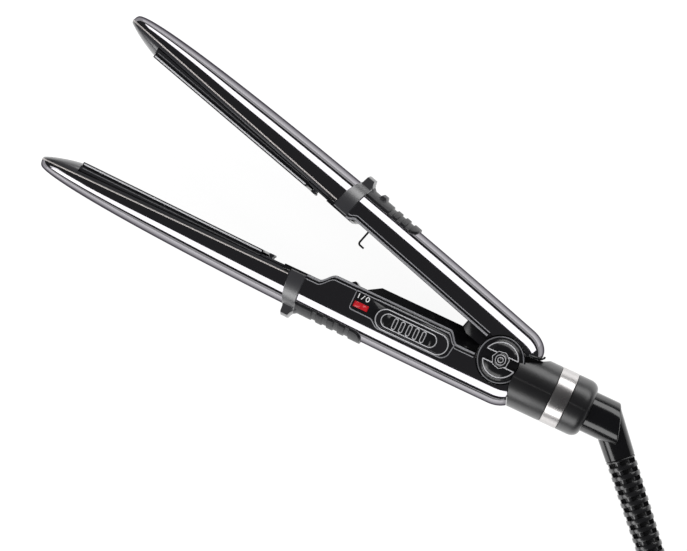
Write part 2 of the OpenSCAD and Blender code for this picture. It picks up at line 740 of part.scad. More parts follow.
/* Temperature slider: cap with five slits over a stem */
slider_x = 46.85;
slider_return = 2;
slider_count = 5;
slit_pitch = 3.8;
slit_width = 1.7;
stem_length = 1.6;
slider_bottom = tub_floor + 0.3;
slider_top = panel_top + 0.15;
pot_top = 9.6;
module temperature_slider() {
    color("#1f1f22") on_fixed() difference() {
        union() {
            translate([0, 0, slider_bottom]) linear_extrude(height = slider_top - slider_bottom)
                stadium([slider_x, tub_center.y], slider_length, slider_width);
            translate([slider_x - stem_length, tub_center.y - 0.9, pot_top - 0.8])
                cube([2 * stem_length, 1.8, slider_bottom - pot_top + 1.2]);
        }
        for (i = [0:slider_count - 1])
            translate([slider_x + slit_pitch * (i - (slider_count - 1) / 2), tub_center.y, slider_top - 0.9])
                linear_extrude(height = 2) square([slit_width, slit_length], center = true);
    }
}
// Parts behind the panel, on the circuit board
board_top = board_z + board_thickness;
board_rear = 31;
board_front = 83;
board_low = -14;
pot_half = 4;
pot_front = 65;
module slide_potentiometer() {
    color("#8a8f96") on_fixed() difference() {
        box([board_rear, tub_center.y - pot_half, board_top], [pot_front, tub_center.y + pot_half, pot_top]);
        box([slider_x - slider_travel - stem_length - 0.6, tub_center.y - 1.3, pot_top - 1.4],
            [slider_x + slider_return + stem_length + 0.6, tub_center.y + 1.3, pot_top + 1]);
    }
}
module circuit_board() {
    color("#2f6b3c") on_fixed()
        box([board_rear, board_low, board_z], [board_front, handle_rise - cover_thickness - seat_gap,
            board_top]);
}

/* Power switch: a rocking drum with a hollow two-sloped face */
axle_radius = 0.8;
module rocker_drum(r, w) {
    translate([rocker_center.x, rocker_center.y, rocker_pivot]) rotate([90, 0, 0]) barrel(r, w);
}
module power_switch() {
    color("#c4222c") on_fixed() {
        translate([rocker_center.x, rocker_center.y, rocker_pivot]) rotate([0, -rocker_angle / 2,
            0]) difference() {
            rotate([90, 0, 0]) union() {
                barrel(rocker_radius, rocker_width);
                barrel(axle_radius, rocker_width + 2.4);
            }
            // Face: two planes that fall towards the middle
            for (s = [0, 1]) mirror([s, 0, 0]) translate([0, 0, panel_top - rocker_pivot + 0.2])
                rotate([0, -rocker_angle / 2, 0]) translate([-0.01, -5, 0]) cube([10, 10, 10]);
            translate([-10, -5, -11.2]) cube([20, 10, 10]);
        }
    }
}
module switch_housing() {
    low = panel_z - 1.8;
    color("#26262a") on_fixed() difference() {
        box([rocker_center.x - 6.6, rocker_center.y - 3.6, board_top],
            [rocker_center.x + 6.6, rocker_center.y + 3.6, low]);
        rocker_drum(rocker_radius + 0.3, rocker_width + 0.4);
        rocker_drum(axle_radius + fit_gap, rocker_width + 2.8);
    }
}

/* Hinge: fixed frame with knuckle and stub, fork, pin, caps, bushes and spring */
knuckle_radius = 11;
spring_chamber = 8.2;
chamber_floor = 2.4;
stub_start = 12.6;
stub_end = 42;
stub_radius = collar_radius - 2.05;
beam_front = 30;
wire_spread = 1.6;
wire_level = -14.2;
wire_radius = 1.1;
// Wedge on the frame that fills the gap between the collar's slope and the open arm's tail
function open_tail(x) = let (a = 180 - open_angle, y = tail_y(x))
    [x * cos(a) - y * sin(a), x * sin(a) + y * cos(a) - free_gap - 0.05];
frame_wedge = [[7.6, 5.2], open_tail(-6), open_tail(-14.7), [12.5, 4.75], [10.6, 3.4], [9.3, 2.6]];
module hinge_frame() {
    color("#2a2a2d") on_hub() slab(2 * knuckle_half - 1) polygon(frame_wedge);
    color("#2a2a2d") difference() {
        union() {
            on_hub() barrel(knuckle_radius, 2 * knuckle_half);
            on_fixed() {
                slab(2 * knuckle_half) polygon([[0, hub_edge - cover_thickness - seat_gap],
                    [beam_front, hub_edge - cover_thickness - seat_gap], [beam_front, -11], [0, -11]]);
                box([beam_front - 10, -10, -10.6], [beam_front - 2, hub_edge - cover_thickness - 0.6, 10.6]);
            }
            on_hub() slab(2 * knuckle_half) polygon([[0, -10.9], [stub_start + 1, -14.4], [stub_start + 1, 3],
                [0, 5.5]]);
            translate([stub_start, swivel_y, mid_z]) rotate([0, 90, 0])
                cylinder(r = stub_radius, h = stub_end - stub_start);
        }
        on_hub() {
            barrel(pin_radius + 0.02, far);
            translate([0, 0, chamber_floor - knuckle_half]) cylinder(r = spring_chamber, h = far);
            // Hole for the spring's lower leg
            translate([-coil_radius, 0, -knuckle_half]) cylinder(r = spring_wire / 2 + 0.2,
                h = knuckle_half, $fn = 24);
        }
        // The stub follows the slope of the collar above it
        on_hub() slab(far) translate([0, -0.4]) polygon([[stub_start - 0.4, far],
            [stub_start - 0.4, slope_y(stub_start - 0.4)], [far, slope_y(far)], [far, far]]);
        for (s = [-1, 1]) translate([stub_start - 5, wire_level, mid_z + s * wire_spread])
            rotate([0, 90, 0]) cylinder(r = wire_radius + 0.2, h = far, $fn = 24);
    }
}
tongue_half = 11.2;
cheek_low = -12;
cheek_front = 38;
block_rear = 15;
module hinge_fork() {
    color("#161618") on_moving() difference() {
        union() {
            for (s = [-1, 1]) scale([1, 1, s]) {
                translate([0, 0, fork_inner]) {
                    cylinder(r = fork_radius, h = fork_half - fork_inner);
                    linear_extrude(height = tongue_half - fork_inner) polygon([[0, 1.2],
                        [tongue_front - 3.5, 1.2],
                        [tongue_front, -0.3], [tongue_front, -handle_drop - cover_thickness - seat_gap],
                        [cheek_front, -handle_drop - cover_thickness - seat_gap], [cheek_front, cheek_low],
                            [0, cheek_low]]);
                }
            }
            box([block_rear, cheek_low - 2, -fork_inner - 1],
                [cheek_front, -handle_drop - cover_thickness - 2.4, fork_inner + 1]);
        }
        barrel(bush_radius + 0.02, far);
        // Hole for the spring's upper leg, in the near cheek
        rotate([0, 0, open_angle + 180]) translate([coil_radius, 0, 0]) cylinder(r = spring_wire / 2 + 0.3,
            h = far, $fn = 24);
        // Round well for the knuckle, and a ring groove round each hub cap
        barrel(knuckle_radius + free_gap, 2 * fork_inner - 0.01);
        for (s = [-1, 1]) scale([1, 1, s]) translate([0, 0, fork_half - 0.3]) difference() {
            cylinder(r = fork_radius - 0.2, h = 2);
            translate([0, 0, -1]) cylinder(r = fork_radius - 0.7, h = 4);
        }
    }
}
bush_radius = pin_radius + 1.4;
module hinge_bushes() {
    color("#b98d4a") on_hub() for (s = [-1, 1]) scale([1, 1, s]) difference() {
        translate([0, 0, fork_inner]) cylinder(r = bush_radius, h = fork_half - fork_inner);
        translate([0, 0, fork_inner - 1]) cylinder(r = pin_radius + fit_gap, h = far);
    }
}
cap_start = mid_z - cap_height;
module hinge_pin() {
    color("#b8b8bc") on_hub() barrel(pin_radius, 2 * (cap_start + cap_height / 2));
}
groove_half = 2.7;
boss_radius = 4.4;
module hub_cap() {
    difference() {
        union() {
            difference() {
                translate([0, 0, cap_start]) cylinder(r1 = cap_radius - 0.3, r2 = cap_radius,
                    h = cap_height - 0.5);
                translate([0, 0, mid_z - 1.3]) box([-far, -groove_half, 0], [far, groove_half, 3]);
            }
            difference() {
                translate([0, 0, cap_start]) cylinder(r1 = cap_radius, r2 = cap_radius - 0.5, h = cap_height);
                translate([0, 0, mid_z - 1.1]) box([-far, -groove_half, 0], [far, groove_half, 3]);
            }
            translate([0, 0, cap_start]) rotate([0, 0, 22.5]) cylinder(r = boss_radius, h = cap_height,
                $fn = 8);
        }
        // Ring round the boss's centre
        translate([0, 0, mid_z - 0.5]) difference() {
            cylinder(r = 2.7, h = 2);
            translate([0, 0, -1]) cylinder(r = 1.3, h = 4);
        }
        translate([0, 0, cap_start - 1]) cylinder(r = pin_radius + 0.02, h = 1 + cap_height / 2);
    }
}
module near_hub_cap() {
    color("#141416") on_hub() hub_cap();
}
module far_hub_cap() {
    color("#141416") on_hub() mirror([0, 0, 1]) hub_cap();
}
// Torsion spring: a wound wire with one leg down into the knuckle and one up into the fork
spring_wire = 1.5;
coil_radius = 6.2;
coil_pitch = 1.75;
coil_turns = 4;
coil_rings = 12;
coil_sides = 6;
module torsion_spring() {
    low = chamber_floor - knuckle_half + spring_wire / 2 + 0.3;
    total = coil_turns * coil_rings + coil_rings / 2;
    centres = [for (i = [0:total]) let (a = 180 + 360 * i / coil_rings)
        [coil_radius * cos(a), coil_radius * sin(a), low + coil_pitch * i / coil_rings]];
    color("#9a9aa0") on_hub() {
        tube(centres, spring_wire / 2, coil_sides);
        translate([-coil_radius, 0, -knuckle_half + 0.4]) cylinder(r = spring_wire / 2,
            h = low + knuckle_half - 0.4, $fn = 24);
        translate([coil_radius, 0, centres[total].z]) cylinder(r = spring_wire / 2,
            h = fork_half - 0.6 - centres[total].z, $fn = 24);
    }
}
module mains_leads() {
    color("#3a5f9e") for (s = [-1, 1]) translate([-24, wire_level, mid_z + s * wire_spread]) rotate([0, 90,
        0])
        cylinder(r = wire_radius, h = 24 + stub_end, $fn = 24);
}

/* Collar in two halves, and its chrome ring */
shoulder = 5;
flange_radius = 12.2;
flange = [43, 46.8];
ring_start = 30;
ring_depth = 1.1;
module collar() {
    round_end = [for (i = [0:8]) let (a = 90 * i / 8)
        [collar_radius - (collar_radius - swivel_radius - 0.4) * (1 - cos(a)),
            collar_end - shoulder + shoulder * sin(a)]];
    difference() {
        translate([0, swivel_y, mid_z]) rotate([0, 90, 0]) rotate_extrude($fn = 96) polygon(concat(
            [[stub_radius + fit_gap, 4], [collar_radius, 4]], round_end,
            [[swivel_radius + 0.1, collar_end], [swivel_radius + 0.1, flange[1] + 0.4],
            [flange_radius + 0.3, flange[1] + 0.4], [flange_radius + 0.3, stub_end + 0.1],
            [stub_radius + fit_gap, stub_end + 0.1]]));
        on_hub() {
            slab(far) polygon([[-20, far], [-20, -far], [front_end.x + 13, -far], front_end, front_low,
                front_high,
                [far, slope_y(far)], [far, far]]);
            barrel(well_radius, 2 * fork_half + 2 * free_gap);
            barrel(cap_radius + free_gap, far);
        }
        // Groove for the chrome ring
        translate([ring_start - seat_gap, swivel_y, mid_z]) rotate([0, 90, 0]) difference() {
            cylinder(r = far, h = ring_width + 2 * seat_gap);
            translate([0, 0, -1]) cylinder(r = collar_radius - ring_depth, h = far);
        }
    }
}
module collar_front_half() {
    color("#38383b") intersection() {
        collar();
        translate([-far, swivel_y + 0.02, -far]) cube([200, far, 200]);
    }
}
module collar_back_half() {
    color("#38383b") intersection() {
        collar();
        translate([-far, swivel_y - 0.02 - far, -far]) cube([200, far, 200]);
    }
}
module chrome_ring() {
    color("#d8d8dc") translate([ring_start, swivel_y, mid_z]) rotate([0, 90, 0]) difference() {
        cylinder(r = collar_radius + 0.12, h = ring_width, $fn = 96);
        translate([0, 0, -1]) cylinder(r = collar_radius - ring_depth + seat_gap, h = far, $fn = 96);
    }
}

/* Swivel: barrel that turns in the collar, elbow, strain relief */
barrel_end = 60.2;
mitre_x = 61.8;
elbow_lean = 18.5;
elbow_front = 67.25;
elbow_radius = 8.1;
elbow_back = 5.3;
cord_exit = [112.6, -58.9];
bend_angle = atan2(cord_exit.y - swivel_y, cord_exit.x - mitre_x);
relief_reach = norm([cord_exit.x - mitre_x, cord_exit.y - swivel_y]);
relief_start = relief_reach - relief_length;
module on_swivel() {
    translate([0, swivel_y, mid_z]) children();
}
relief_drop = 2.5;
relief_z = mid_z - relief_drop;
module on_relief() {
    translate([mitre_x, swivel_y, relief_z]) rotate([0, 0, bend_angle]) rotate([0, 90, 0]) children();
}
module swivel_barrel() {
    color("#1c1c1f") on_swivel() rotate([0, 90, 0]) difference() {
        union() {
            translate([0, 0, flange[0]]) cylinder(r = flange_radius, h = flange[1] - flange[0]);
            translate([0, 0, flange[0]]) cylinder(r = swivel_radius, h = barrel_end - flange[0]);
        }
        translate([0, 0, flange[0] - 1]) cylinder(r = cord_diameter / 2, h = far);
    }
}
// The elbow's stub ends on a leaning plane, from which a cone runs to the strain relief
module swivel_elbow() {
    color("#1c1c1f") intersection() {
        union() {
            on_swivel() difference() {
                rotate([0, 90, 0]) cylinder(r = swivel_radius, h = far + barrel_end);
                translate([elbow_front, 0, 0]) rotate([0, 0, elbow_lean]) translate([0, -far,
                    -far]) cube(2 * far);
            }
            on_relief() translate([0, 0, -elbow_back])
                cylinder(r1 = elbow_radius, r2 = relief_radius, h = relief_start - 0.02 + elbow_back);
        }
        on_swivel() translate([barrel_end + 0.02, -far, -far]) cube(2 * far);
    }
}
relief_pitch = 4.6;
relief_slot = 2.2;
relief_first = 1.1;
relief_skin = 0.5;
relief_core = cord_diameter / 2 + 1.2;
relief_end = relief_radius - 0.75;
relief_cone = 2;
relief_spine = 1.8;
relief_spine_angle = 18;
relief_side = 5;
relief_count = floor((relief_length - relief_first - relief_cone) / relief_pitch);
function relief_r(z) = relief_radius + (relief_end - relief_radius) * z / relief_length;
module strain_relief() {
    color("#232326") on_relief() translate([0, 0, relief_start]) difference() {
        union() {
            cylinder(r1 = relief_radius, r2 = relief_end, h = relief_length - relief_cone);
            translate([0, 0, relief_length - relief_cone - 0.01])
                cylinder(r1 = relief_end, r2 = cord_diameter / 2 + 0.8, h = relief_cone + 0.01);
        }
        for (i = [0:relief_count - 1]) translate([0, 0, relief_first + relief_pitch * i]) difference() {
            cylinder(r = relief_radius + 2, h = relief_slot);
            translate([0, 0, -1]) cylinder(r = relief_core, h = relief_slot + 2);
            // Spines left between the windows, below a shallow ring
            translate([0, 0, -1]) intersection() {
                cylinder(r = relief_r(relief_pitch * i + 2) - relief_skin, h = relief_slot + 2);
                union() {
                    rotate([0, 0, relief_spine_angle]) translate([-far, -relief_spine / 2,
                        0]) cube([2 * far, relief_spine, 5]);
                    translate([-relief_side / 2, -far, 0]) cube([relief_side, 2 * far, 5]);
                }
            }
        }
    }
}

/* Cord: free stretch, wound coil and tail down to the plug */
cord_sides = 8;
coil_center = [115, -134];
coil_lift = 1.1;
coil_outer = 49.5;
coil_inner = 28.6;
coil_from = 43;
coil_loop_rings = 24;
coil_steps = 249;
coil_layers = 4;
layer_pitch = 7.5;
coil_end = 7;
cord_low = coil_lift + cord_diameter / 2;
// The coil spirals in and out in layers and climbs in the half turn where it reverses
layer_steps = coil_steps / coil_layers;
climb_steps = coil_loop_rings / 2;
function coil_r(i) = let (layer = floor(i / layer_steps), share = i / layer_steps - layer)
    coil_outer - (coil_outer - coil_inner) * (layer % 2 == 0 ? share : 1 - share);
function climbed(i, k) = ease(min(1, max(0, (i - k * layer_steps) / climb_steps + 0.5)));
function coil_z(i) = cord_low + layer_pitch * (climbed(i, 1) + climbed(i, 2) + climbed(i, 3));
function coil_point(i) = let (a = coil_from - 360 * i / coil_loop_rings)
    [coil_center.x + coil_r(i) * cos(a), coil_center.y + coil_r(i) * sin(a), coil_z(i)];
coil_points = [for (i = [0:coil_steps]) coil_point(i)];
coil_entry = [sin(coil_from), -cos(coil_from), 0];
coil_start = coil_points[0] - coil_end * coil_entry;
// Routes of the free stretch and of the tail
exit_way = [cos(bend_angle), sin(bend_angle), 0];
exit_point = [cord_exit.x, cord_exit.y, relief_z];
cord_points = [exit_point + 0.02 * exit_way, exit_point + coil_end * exit_way, [122.2, -69.1, relief_z - 0.5],
    [127.1, -74.4, relief_z - 1.9], [131.9, -79.6, relief_z - 3.9], [136.7, -84.8, cord_low + 2.2],
    [140.9, -89.3, cord_low + 0.5], coil_start - 3.5 * coil_entry, coil_start];
plug_z = 7;
plug_y = -171;
plug_start = 19;
tail_points = [[106.3, -183.2, cord_low + 22.5], [96, -182.8, cord_low + 22.5], [86, -181.6, cord_low + 22.3],
    [76, -179.5, cord_low + 20.3], [66, -177.2, cord_low + 16.6], [56, -175, cord_low + 12],
    [46, -173.1, cord_low + 7.4], [36, -171.7, cord_low + 3.9], [26, plug_y, plug_z], [plug_start, plug_y,
        plug_z]];
coil_path = concat([coil_start], coil_points, [tail_points[0]]);
// Least gap of the coil to itself: points at least half a turn apart along it
coil_gap = min([for (i = [0:coil_steps]) for (j = [i + coil_loop_rings / 2:coil_steps])
    norm(coil_points[i] - coil_points[j])]) - cord_diameter;

// Tube swept along points: each ring stands square to the path, its sides kept upright
function unit(v) = v / norm(v);
function heading(p, i) = let (last = len(p) - 1)
    unit(i == 0 ? p[1] - p[0] : i == last ? p[last] - p[last - 1]
        : unit(p[i + 1] - p[i]) + unit(p[i] - p[i - 1]));
module tube(p, r, sides) {
    skin([for (i = [0:len(p) - 1]) let (
        t = heading(p, i),
        u = unit(cross([0, 0, 1], t)),
        v = cross(t, u))
        [for (k = [0:sides - 1]) let (a = 360 * (k + 0.5) / sides) p[i] + r * (cos(a) * u + sin(a) * v)]]);
}
module cord() {
    color("#1e1e20") tube(cord_points, cord_diameter / 2, cord_sides);
}
module cord_coil() {
    echo(least_gap_in_the_coil = coil_gap);
    color("#1e1e20") tube(coil_path, cord_diameter / 2, 6);
}
module cord_tail() {
    color("#1e1e20") tube(tail_points, cord_diameter / 2, cord_sides);
}
tie_angles = [-30, 150];
tie_width = 8;
tie_thickness = 0.8;
module cord_ties() {
    in_r = coil_inner - cord_diameter / 2 - 0.6;
    out_r = coil_outer + cord_diameter / 2 + 0.6;
    high = coil_lift + cord_diameter + (coil_layers - 1) * layer_pitch + 0.3;
    color("#2b2b2e") for (a = tie_angles) translate([coil_center.x, coil_center.y, 0]) rotate([0, 0,
        a]) difference() {
        box([in_r - tie_thickness, -tie_width / 2, 0], [out_r + tie_thickness, tie_width / 2,
            high + tie_thickness]);
        box([in_r, -tie_width, tie_thickness], [out_r, tie_width, high]);
    }
}

/* Plug: flat two-pin body with a tapered guard */
guard_length = 18;
plug_length = 36;
plug_half_width = 17.6;
plug_half_height = 6.85;
pin_spread = 9.3;
plug_pin = 2;
plug_pin_length = 19;
module plug_body() {
    color("#1e1e20") translate([plug_start, plug_y, plug_z]) rotate([0, -90, 0]) {
        cylinder(r1 = cord_diameter / 2 + 0.9, r2 = 6, h = guard_length);
        hull() {
            translate([0, 0, guard_length - 1]) cylinder(r = 6, h = 1, $fn = 32);
            for (s = [-1, 1]) translate([0, s * (plug_half_width - plug_half_height), guard_length + 11])
                cylinder(r = plug_half_height, h = plug_length - 11, $fn = 32);
        }
    }
}
module plug_pins() {
    color("#c9c9cd") for (s = [-1, 1])
        translate([plug_start - guard_length - plug_length, plug_y + s * pin_spread, plug_z]) rotate([0,
            -90, 0]) {
            cylinder(r = plug_pin, h = plug_pin_length - 1, $fn = 32);
            translate([0, 0, plug_pin_length - 1]) cylinder(r1 = plug_pin, r2 = 1.2, h = 1, $fn = 32);
        }
}

fixed_shell();
fixed_tip_cap();
fixed_plate_carrier();
fixed_plate();
fixed_heater();
fixed_thermal_fuse();
fixed_plate_springs();
fixed_heater_leads();
fixed_grip();
fixed_handle_cover();
fixed_cover_screws();
control_panel();
power_switch();
switch_housing();
temperature_slider();
slide_potentiometer();
circuit_board();
lock_slider();
hinge_frame();
hinge_pin();
near_hub_cap();
far_hub_cap();
torsion_spring();
mains_leads();
collar_front_half();
collar_back_half();
chrome_ring();
moving_shell();
moving_tip_cap();
moving_plate_carrier();
moving_plate();
moving_heater();
moving_thermal_fuse();
moving_plate_springs();
moving_heater_leads();
moving_grip();
moving_handle_cover();
moving_cover_screws();
moving_tail_cap();
hinge_fork();
hinge_bushes();
lock_hook();
swivel_barrel();
swivel_elbow();
strain_relief();
cord();
cord_coil();
cord_tail();
cord_ties();
plug_body();
plug_pins();
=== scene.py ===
# %% [markdown]
# # A hair straightener, lying open on its side
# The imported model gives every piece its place. This script dresses it: polished shells,
# satin plastics, a chrome ring, a red switch and a soft cord. Lengths are typed in
# millimetres, as on a drawing, and turned to metres when a mesh is made.

# %% Load the frame
import math
import bmesh
import bpy
import numpy as np
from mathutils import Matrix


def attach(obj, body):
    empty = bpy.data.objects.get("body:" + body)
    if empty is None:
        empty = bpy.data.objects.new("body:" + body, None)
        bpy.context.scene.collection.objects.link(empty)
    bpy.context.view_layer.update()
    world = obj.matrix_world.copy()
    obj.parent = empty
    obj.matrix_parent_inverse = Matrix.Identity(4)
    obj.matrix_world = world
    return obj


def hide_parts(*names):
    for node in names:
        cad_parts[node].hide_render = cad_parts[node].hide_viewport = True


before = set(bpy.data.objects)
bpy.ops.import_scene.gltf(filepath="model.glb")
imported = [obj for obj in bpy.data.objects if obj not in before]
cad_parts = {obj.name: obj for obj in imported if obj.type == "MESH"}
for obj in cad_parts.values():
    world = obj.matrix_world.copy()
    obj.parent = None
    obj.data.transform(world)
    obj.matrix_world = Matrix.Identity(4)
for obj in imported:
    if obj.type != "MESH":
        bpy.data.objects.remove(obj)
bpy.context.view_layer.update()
MM = 0.001  # a millimetre in metres
MID = 15.2  # height of the arms' middle plane over the table

# %% [markdown]
# ## Camera
# The picture was taken from straight above, with the hub near the middle of the lens, so the
# camera looks down over the hub and is turned about its own axis. The picture's frame is then
# shifted towards the tips, as a cropped photograph is.

# %% Camera over the hub
camera_height = 760.0
pixels_per_mm = 2.0
roll = 25.13
hub_pixel = (500.5, 360.0)
image = (687, 551)
lens = bpy.data.cameras.new("camera")
camera = bpy.data.objects.new("camera", lens)
bpy.context.collection.objects.link(camera)
camera.location = (0, 0, (MID + camera_height) * MM)
camera.rotation_euler = (0, 0, math.radians(roll))
lens.sensor_width = 36
lens.lens = 36 * pixels_per_mm * camera_height / image[0]
lens.shift_x = 0.5 - hub_pixel[0] / image[0]
lens.shift_y = (hub_pixel[1] - image[1] / 2) / image[0]
lens.clip_end = 20
bpy.context.scene.camera = camera
bpy.context.scene.view_settings.view_transform = "Standard"
print("focal length:", round(lens.lens, 1), "mm")

# %% [markdown]
# ## The cord's route
# A mains lead of this kind is about 2.7 m long. It leaves the strain relief, sinks to the
# table, and the rest lies in a neat tied coil of four layers, with the plug beside it. The
# route is a list of points: given ones for the free stretches, and a spiral whose
# radius goes in and out while its height climbs one layer at each turn back.

# %% Places along the cord's way
cord_diameter = 7.0
swivel_y = -4.6
relief_z = MID - 2.5
mitre = np.array([61.8, swivel_y, relief_z])
cord_exit = np.array([112.6, -58.9, relief_z])
exit_way = (cord_exit - mitre) / np.linalg.norm(cord_exit - mitre)
cord_low = 4.6
coil_center = np.array([115.0, -134.0])
coil_outer, coil_inner, coil_from = 49.5, 28.6, 43.0
coil_steps, coil_layers, layer_pitch = 249, 4, 7.5
print("coil:", 2 * coil_outer + cord_diameter, "mm across outside")

# %% A smooth step, a coil and a curve through points
def ease(t):
    """Smooth step: (1 - cos(pi t)) / 2."""
    return (1 - np.cos(np.pi * np.clip(t, 0, 1))) / 2


def coil_route(count):
    """Radius swings between outer and inner once per layer; height is a sum of smooth climbs."""
    i = np.linspace(0, coil_steps, count)
    layer_steps = coil_steps / coil_layers
    layer = np.minimum(np.floor(i / layer_steps), coil_layers - 1)
    share = i / layer_steps - layer
    radius = coil_outer - (coil_outer - coil_inner) * np.where(layer % 2 == 0, share, 1 - share)
    angle = np.radians(coil_from - 15 * i)
    height = cord_low + layer_pitch * sum(ease((i - k * layer_steps) / 12 + 0.5) for k in (1, 2, 3))
    return np.stack([coil_center[0] + radius * np.cos(angle), coil_center[1] + radius * np.sin(angle), height], 1)


def through(points, step):
    """A smooth curve through points: each coordinate is a cubic between neighbours (Catmull-Rom)."""
    p = np.vstack([2 * points[0] - points[1], points, 2 * points[-1] - points[-2]])
    out = []
    for a, b, c, d in zip(p[:-3], p[1:-2], p[2:-1], p[3:]):
        t = np.linspace(0, 1, max(2, int(np.linalg.norm(c - b) / step) + 1))[:-1, None]
        out.append(0.5 * (2 * b + (c - a) * t + (2 * a - 5 * b + 4 * c - d) * t ** 2
                          + (3 * b - a - 3 * c + d) * t ** 3))
    return np.vstack(out + [points[-1:]])


print("halfway up a smooth step:", ease(0.5))

# %% The whole route
turns = coil_route(3 * coil_steps + 1)
entry = np.array([math.sin(math.radians(coil_from)), -math.cos(math.radians(coil_from)), 0])
coil_start = turns[0] - 7 * entry
free = np.array([cord_exit, cord_exit + 7 * exit_way, [122.2, -69.1, 12.2], [127.1, -74.4, 10.8], [131.9, -79.6, 8.8],
                 [136.7, -84.8, 6.8], [140.9, -89.3, 5.1], coil_start - 3.5 * entry, coil_start])
tail = np.array([[106.3, -183.2, 27.1], [96, -182.8, 27.1], [86, -181.6, 26.9], [76, -179.5, 24.9], [66, -177.2, 21.2],
                 [56, -175.0, 16.6], [46, -173.1, 12.0], [36, -171.7, 8.5], [26, -171, 7.0], [19, -171, 7.0]])
route = np.vstack([through(free, 2.5)[:-1], turns, through(tail, 2.5)])

# %% [markdown]
# ## The cord
# A round PVC lead is the same all along. It could be a mesh tube; a curve with a round bevel
# is shorter to write, and its length can be measured on its line. The bevel is one metre deep
# and the radius of each point scales it down to the cord's, which keeps the curve's box tight.

# %% The cord as a curve with a round section
curve = bpy.data.curves.new("mains_cord", "CURVE")
curve.dimensions = "3D"
curve.bevel_depth = 1
curve.bevel_resolution = 3
line = curve.splines.new("POLY")
line.points.add(len(route) - 1)
line.points.foreach_set("co", np.hstack([route * MM, np.ones((len(route), 1))]).ravel())
line.points.foreach_set("radius", np.full(len(route), cord_diameter / 2 * MM))
line.use_smooth = True
mains_cord = bpy.data.objects.new("mains_cord", curve)
bpy.context.collection.objects.link(mains_cord)
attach(mains_cord, "cord_swivel")
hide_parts("cord", "cord_coil", "cord_tail")
print("cord:", cord_diameter, "mm across")

# %% [markdown]
# ## Helpers for colours and materials
# Colours are typed as sRGB hex codes, as a designer would, and turned to the linear values
# that the renderer works in. One function adds a node. One makes a plain material, and one
# adds what every moulded or plated surface has: a fine grain and slow changes of gloss.

# %% Colours and nodes
def linear(code):
    """sRGB hex code to linear colour with alpha 1."""
    c = np.array([int(code[i:i + 2], 16) for i in (1, 3, 5)]) / 255
    c = np.where(c <= 0.04045, c / 12.92, ((c + 0.055) / 1.055) ** 2.4)
    return (*c.tolist(), 1.0)


def add(tree, kind, values=None, links=None, **settings):
    """Adds one node: settings are its own choices, values fill sockets, links join them to (node, output)."""
    made = tree.nodes.new(kind)
    for key, value in settings.items():
        setattr(made, key, value)
    for key, value in (values or {}).items():
        made.inputs[key].default_value = value
    for key, (other, output) in (links or {}).items():
        tree.links.new(other.outputs[output], made.inputs[key])
    return made


print("mid grey #808080 is", round(linear("#808080")[0], 3), "in linear light")

# %% A plain material
def material(name, colour, roughness, metallic=0.0, **sockets):
    """A material with one Principled shader; sockets are its other values. Returns material, tree and shader."""
    made = bpy.data.materials.new(name)
    made.use_nodes = True
    made.diffuse_color = linear(colour)
    tree = made.node_tree
    shader = next(n for n in tree.nodes if n.type == "BSDF_PRINCIPLED")
    shader.inputs["Base Color"].default_value = linear(colour)
    shader.inputs["Roughness"].default_value = roughness
    shader.inputs["Metallic"].default_value = metallic
    for key, value in sockets.items():
        shader.inputs[key.replace("_", " ")].default_value = value
    return made, tree, shader


# %% The grain of a moulded surface
slow_change = 14.0  # mm between places of more and of less gloss


def grained(name, colour, roughness, grain, depth, spread=0.06, metallic=0.0, **sockets):
    """A moulded or cast surface: fine bump of a real grain size in mm, and slow changes of roughness."""
    made, tree, shader = material(name, colour, roughness, metallic, **sockets)
    place = add(tree, "ShaderNodeTexCoord")
    fine = add(tree, "ShaderNodeTexNoise", {"Scale": 1 / (grain * MM), "Detail": 2.0, "Roughness": 0.6},
               {"Vector": (place, "Object")})
    bump = add(tree, "ShaderNodeBump", {"Strength": 0.6, "Distance": depth * MM}, {"Height": (fine, "Fac")})
    slow = add(tree, "ShaderNodeTexNoise", {"Scale": 1 / (slow_change * MM), "Detail": 3.0},
               {"Vector": (place, "Object")})
    level = add(tree, "ShaderNodeMapRange", {"From Min": 0.3, "From Max": 0.7, "To Min": roughness - spread,
                                             "To Max": roughness + spread}, {"Value": (slow, "Fac")})
    tree.links.new(bump.outputs["Normal"], shader.inputs["Normal"])
    tree.links.new(level.outputs["Result"], shader.inputs["Roughness"])
    return made


print("gloss changes over", slow_change, "mm")

# %% [markdown]
# ## Plastics and plating
# The barrels are plated plastic, and the rest of the outside is black plastic from moulds of
# different polish. All are near black, so it is the gloss that tells them apart: each gets its
# own roughness, grain size in mm, and, where the light stays broad and pale, a clear coat.

# %% Plating and plastics
# Plated ABS in a smoked chrome: a mirror at half strength, with faint handling smears
# and a tinted lacquer that darkens towards the limb, where light crosses more of it
smoked_plating = grained("smoked_chrome_plating", "#a2a0a4", 0.06, 20.0, 0.0, spread=0.015, metallic=1.0,
                         Specular_Tint=linear("#5d5b60"))
# Heat-resistant nylon of the plate carriers: matt black, with a fine moulded grain that breaks up the light
nylon = grained("heat_resistant_nylon", "#3a3a3e", 0.42, 0.35, 0.012)
# ABS of covers, panel and hinge from a polished mould: black, with clear but soft mirrored lamps
glossy_abs = grained("glossy_black_abs", "#161618", 0.2, 0.4, 0.002, spread=0.03)
# Dark grey ABS of the grips under a clear lacquer: nearly black from above, grey where it faces the lamps
grey_abs = grained("satin_grey_abs", "#2f2f33", 0.36, 0.45, 0.002, Coat_Weight=1.0, Coat_IOR=2.0, Coat_Roughness=0.34)
# The grips' pads, from a spark-eroded mould: black and matt, easy to hold
pad_abs = grained("spark_textured_black_abs", "#232326", 0.38, 0.45, 0.012)
# Satin ABS of the collar: near black with a broad soft sheen
collar_abs = grained("satin_black_abs", "#151517", 0.33, 0.45, 0.008, Coat_Weight=0.8, Coat_Roughness=0.36)
